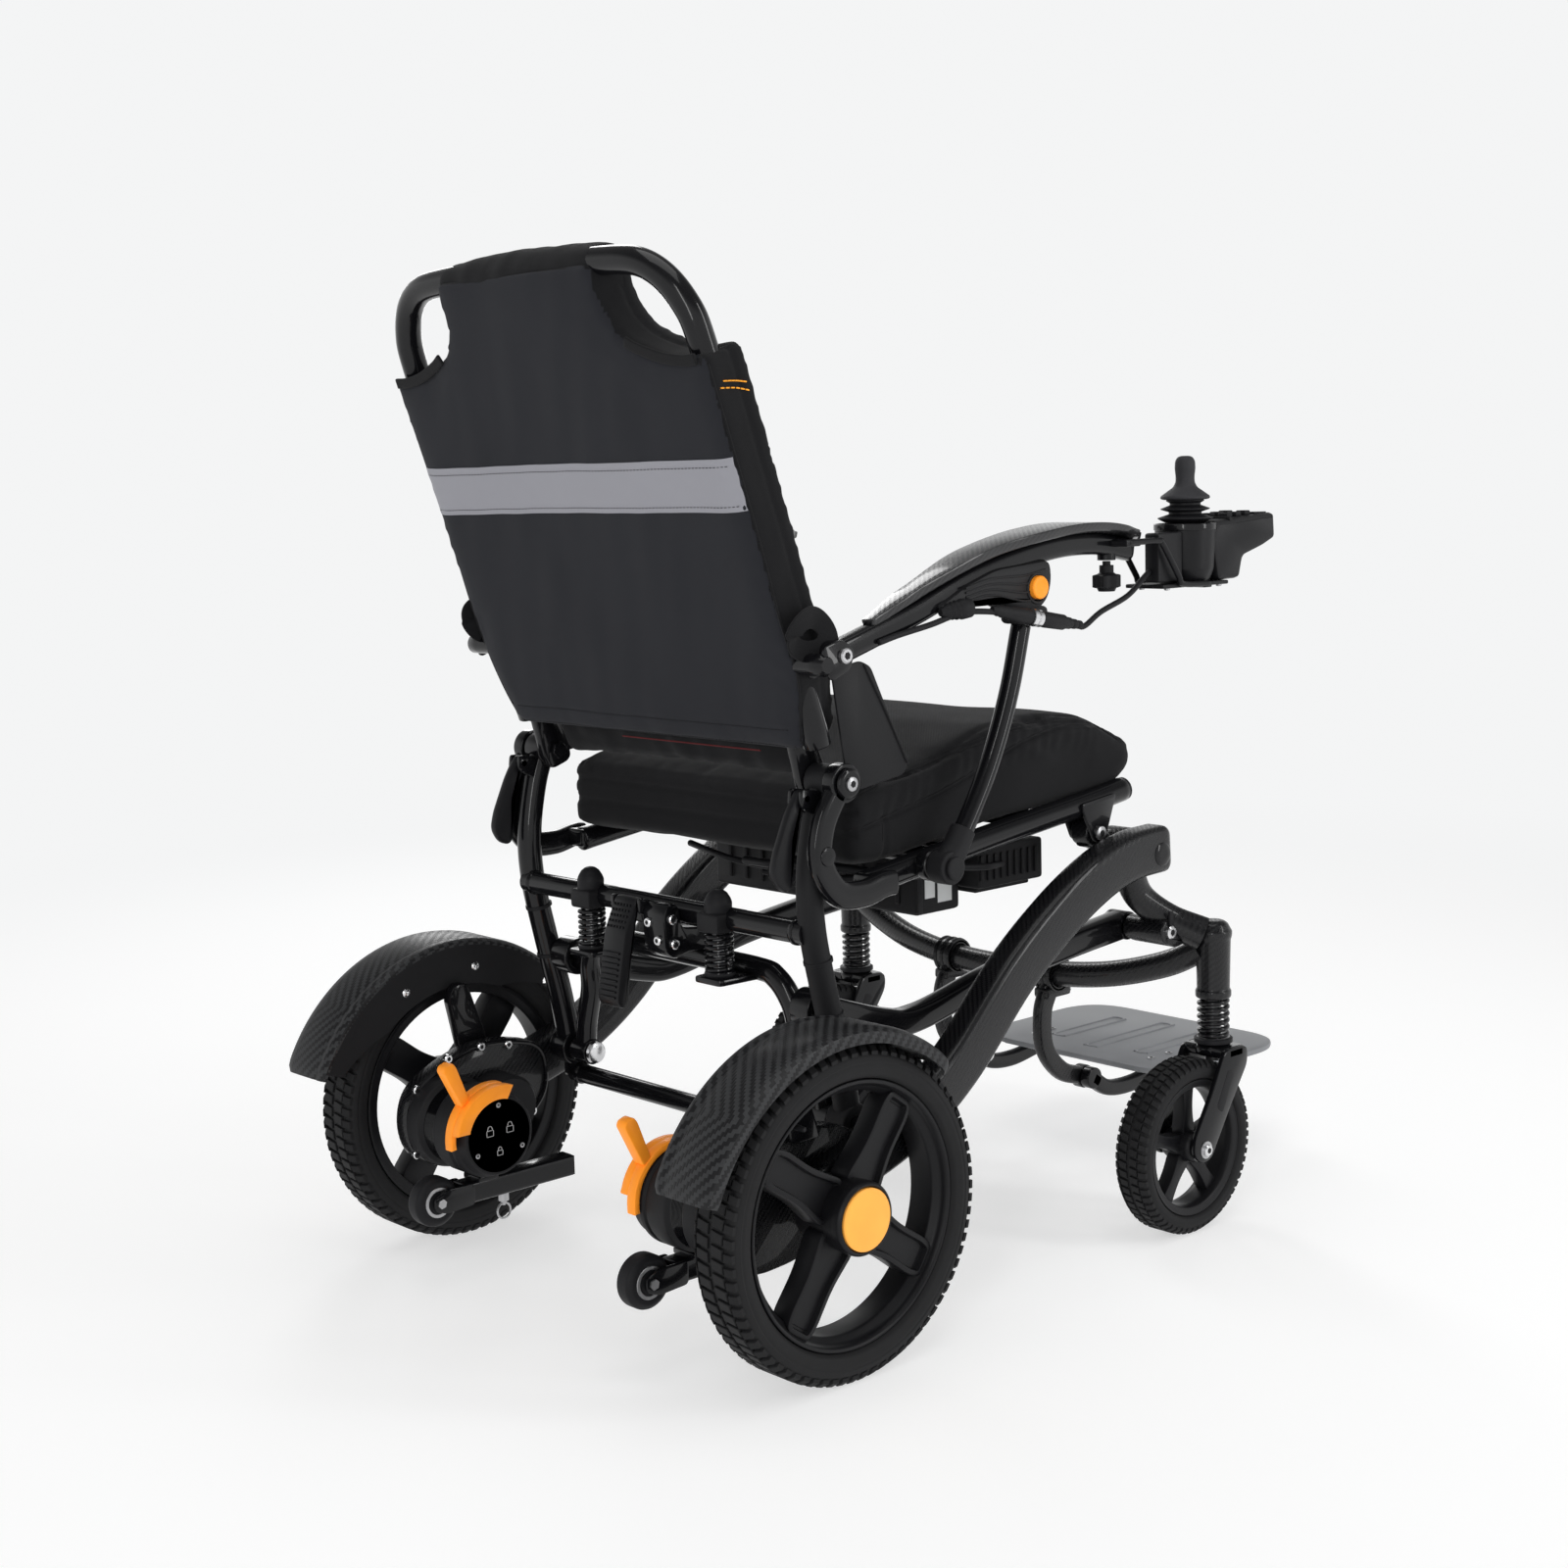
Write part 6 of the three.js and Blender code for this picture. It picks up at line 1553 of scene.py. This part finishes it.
def makeController():
    x, y = drive["x"], drive["y"]
    p = Piece("controller_case", "arm_right", "plastic")
    p.turn((x, y, 0), softened([(670, 0.5), (670, 22), (674, 25), (684, 28.5), (722, 30.6), (728, 30.6), (730, 28),
                                (730, 20), (722, 18), (716, 17), (716, 0.5)], 1.6, False, 4), (0, 0, 1), 64)
    nose = [(y - 16, 706), (y - 18, 731), (y - 60, 734.5), (y - 105, 737), (y - 119, 737), (y - 121, 711),
            (y - 100, 703), (y - 66, 694), (y - 60, 672), (y - 24, 671)]
    p.plate(softened(nose, 5), x - 24, x + 24, 5)
    p.plate(softened([(y + 30, 673), (y + 30, 722), (y + 68, 722), (y + 68, 673)], 3), x - 20, x - 2, 2)
    p.block((x - 24, y - 40, 667), (x + 24, y + 66, 671), 1.5)
    for dx, dy in ((-16, 50), (16, 50), (-16, -34), (16, -34)):
        p.screw((x + dx, y + dy, 667), (0, 0, -1), 3, 2.2, "nickel")
    p.use("gloss").turn((x, y, 0), softened([(723, 30.2), (723, 31.8), (729.5, 31.8), (729.5, 30.2)], 0.7), (0, 0, 1),
                        72, closed=True)
    # keys in a raised row and a blank display
    p.use("softRubber")
    for k in range(3):
        p.block((x - 17, y - 56 - k * 15, 733.5 + k * 0.9), (x - 5, y - 47 - k * 15, 738.4 + k * 0.9), 1.4)
        p.block((x + 5, y - 56 - k * 15, 733.5 + k * 0.9), (x + 17, y - 47 - k * 15, 738.4 + k * 0.9), 1.4)
    p.use("glass").block((x - 18, y - 112, 736), (x + 18, y - 92, 738.2), 0.8)
    p.use("matte").block((x - 24, y - 45, 731), (x + 24, y - 42, 735), 1)
    p.done(["controller"])

    r = Piece("controller_rods", "arm_right", "nickelBlack")
    for dx in (-27, 27):
        r.sweep([(x + dx, -424, 715), (x + dx, -466, 715), (x + dx, -476, 711), (x + dx, -500, 680),
                 (x + dx, -508, 671), (x + dx, -549, 669)], roundSection(3.1, 14), 50, endRound=1)
    r.block((x - 29, -440, 711), (x + 29, -418, 718), 2)
    r.block((x - 29, -552, 665.5), (x + 29, -540, 669), 1.2)
    r.turn((x, -422, 712), [(-14, 9), (-2, 9)], (0, 0, 1), 24)
    r.done()

    k = Piece("thumb_knob", "knob", "matte")
    lobes = []
    for i in range(48):
        turn = 2 * math.pi * i / 48
        reach = 13 + 1.6 * math.cos(6 * turn)
        lobes.append(Vector((reach * math.cos(turn), reach * math.sin(turn))))
    k.sweep([(x, -422, 672), (x, -422, 683)], lobes, 1, straight=True, endRound=1.2)
    k.turn((x, -422, 0), [(683, 11), (686, 7), (693, 7), (693, 4), (697, 4)], (0, 0, 1), 32)
    k.turn((x, -422, 0), [(667.5, 0.5), (667.5, 8), (671.5, 10)], (0, 0, 1), 32)
    k.done(["clamp_knob"])

    g = Piece("gimbal_ring", "gimbal", "nickel")
    g.turn((x, y, 0), softened([(724.5, 0.5), (724.5, 5.5), (728.5, 5.5), (728.5, 0.5)], 0.8, False, 3), (0, 0, 1),
           40)
    g.done(["joystick_gimbal"])

    # bellows: three sharp folds under a wide skirt
    b = Piece("bellows", "arm_right", "softRubber")
    folds = [(730.5, 20), (733, 25), (734.4, 27.6), (735.4, 27.6), (739, 16.5), (741, 16.5), (743.6, 24.6),
             (744.6, 24.6), (748, 15.5),
             (750, 15.5), (752, 19), (753, 19), (755, 12)]
    b.turn((x, y, 0), [*folds, (755, 9), (730.5, 9)], (0, 0, 1), 64, closed=True)
    b.done(["joystick_boot"])
    j = Piece("stick", "stick", "stickRubber")
    j.turn((x, y, 0), softened([(724, 0.5), (724, 4), (753, 4), (753.4, 22), (754.6, 25), (757, 24.6), (761, 19),
                                (766, 12), (771, 9.6), (776, 9.4),
                                (785, 10.4), (792, 10), (796, 7.6), (797.2, 4), (797.2, 0.5)], 2.0, False, 4),
                                (0, 0, 1), 64)
    j.done(["joystick"])

    # lead with its two-part connector, held at both ends
    c = Piece("controller_cable", "arm_right", "softRubber")
    route = [(-258, -478, 684), (-262, -466, 680), (-268, -432, 663), (-271, -388, 650), (-272, -362, 638),
             (-272, -348, 640), (-272, -300, 648),
             (-272, -262, 655), (-271, -225, 660), (-267, -195, 660), (-264, -160, 652), (-262, -120, 645),
             (-262, -96, 640)]
    c.sweep(route, roundSection(2.8, 16), 120, side=(1, 0, 0), endRound=1)

    def sleeve(at, towards, profile, key):
        c.use(key).turn(at, profile, tuple(Vector(towards) - Vector(at)), 32)
    knot = [(-272, -362, 638.5), (-272, -334, 643), (-272, -297, 649), (-272, -276, 653), (-271, -225, 660.5),
            (-268, -200, 661)]
    sleeve(knot[1], knot[2], [(-24, 3), (-22, 4.2), (-18, 4.2), (-17, 3.6), (-14, 4.8), (-10, 4.8), (-9, 4.2),
                              (-6, 5.6), (0, 5.8), (4, 7.4), (30, 7.8), (36, 7.2), (37, 6)], "matte")
    sleeve(knot[2], knot[3], [(0, 6), (0.5, 8.2), (5, 8.2), (5.6, 7), (7.4, 7), (8, 8.6), (13, 8.6), (13.6, 7)],
           "chrome")
    sleeve(knot[2], knot[3], [(14, 6), (14.4, 7.4), (26, 7.6), (40, 6.6), (44, 5.6), (47, 6.2), (50, 5.4), (53, 5.9),
                              (56, 5), (59, 5.4), (62, 4.4), (66, 3)], "matte")
    sleeve((-267, -200, 664), (-264, -176, 662), [(-8, 5), (-6, 9), (4, 9.6), (8, 8), (10, 9), (13, 7.4), (15, 8.4),
                                                  (18, 6.6), (20, 7.6), (24, 5), (28, 3.4)], "matte")
    c.done(["controller_lead"])


makeBackrestFrame()
makeBackrestCover()
makeSideGuards()
print("backrest made")
makeCushion()
print("cushion made")
makeArmrests()
makeController()
print("arms and controller made")
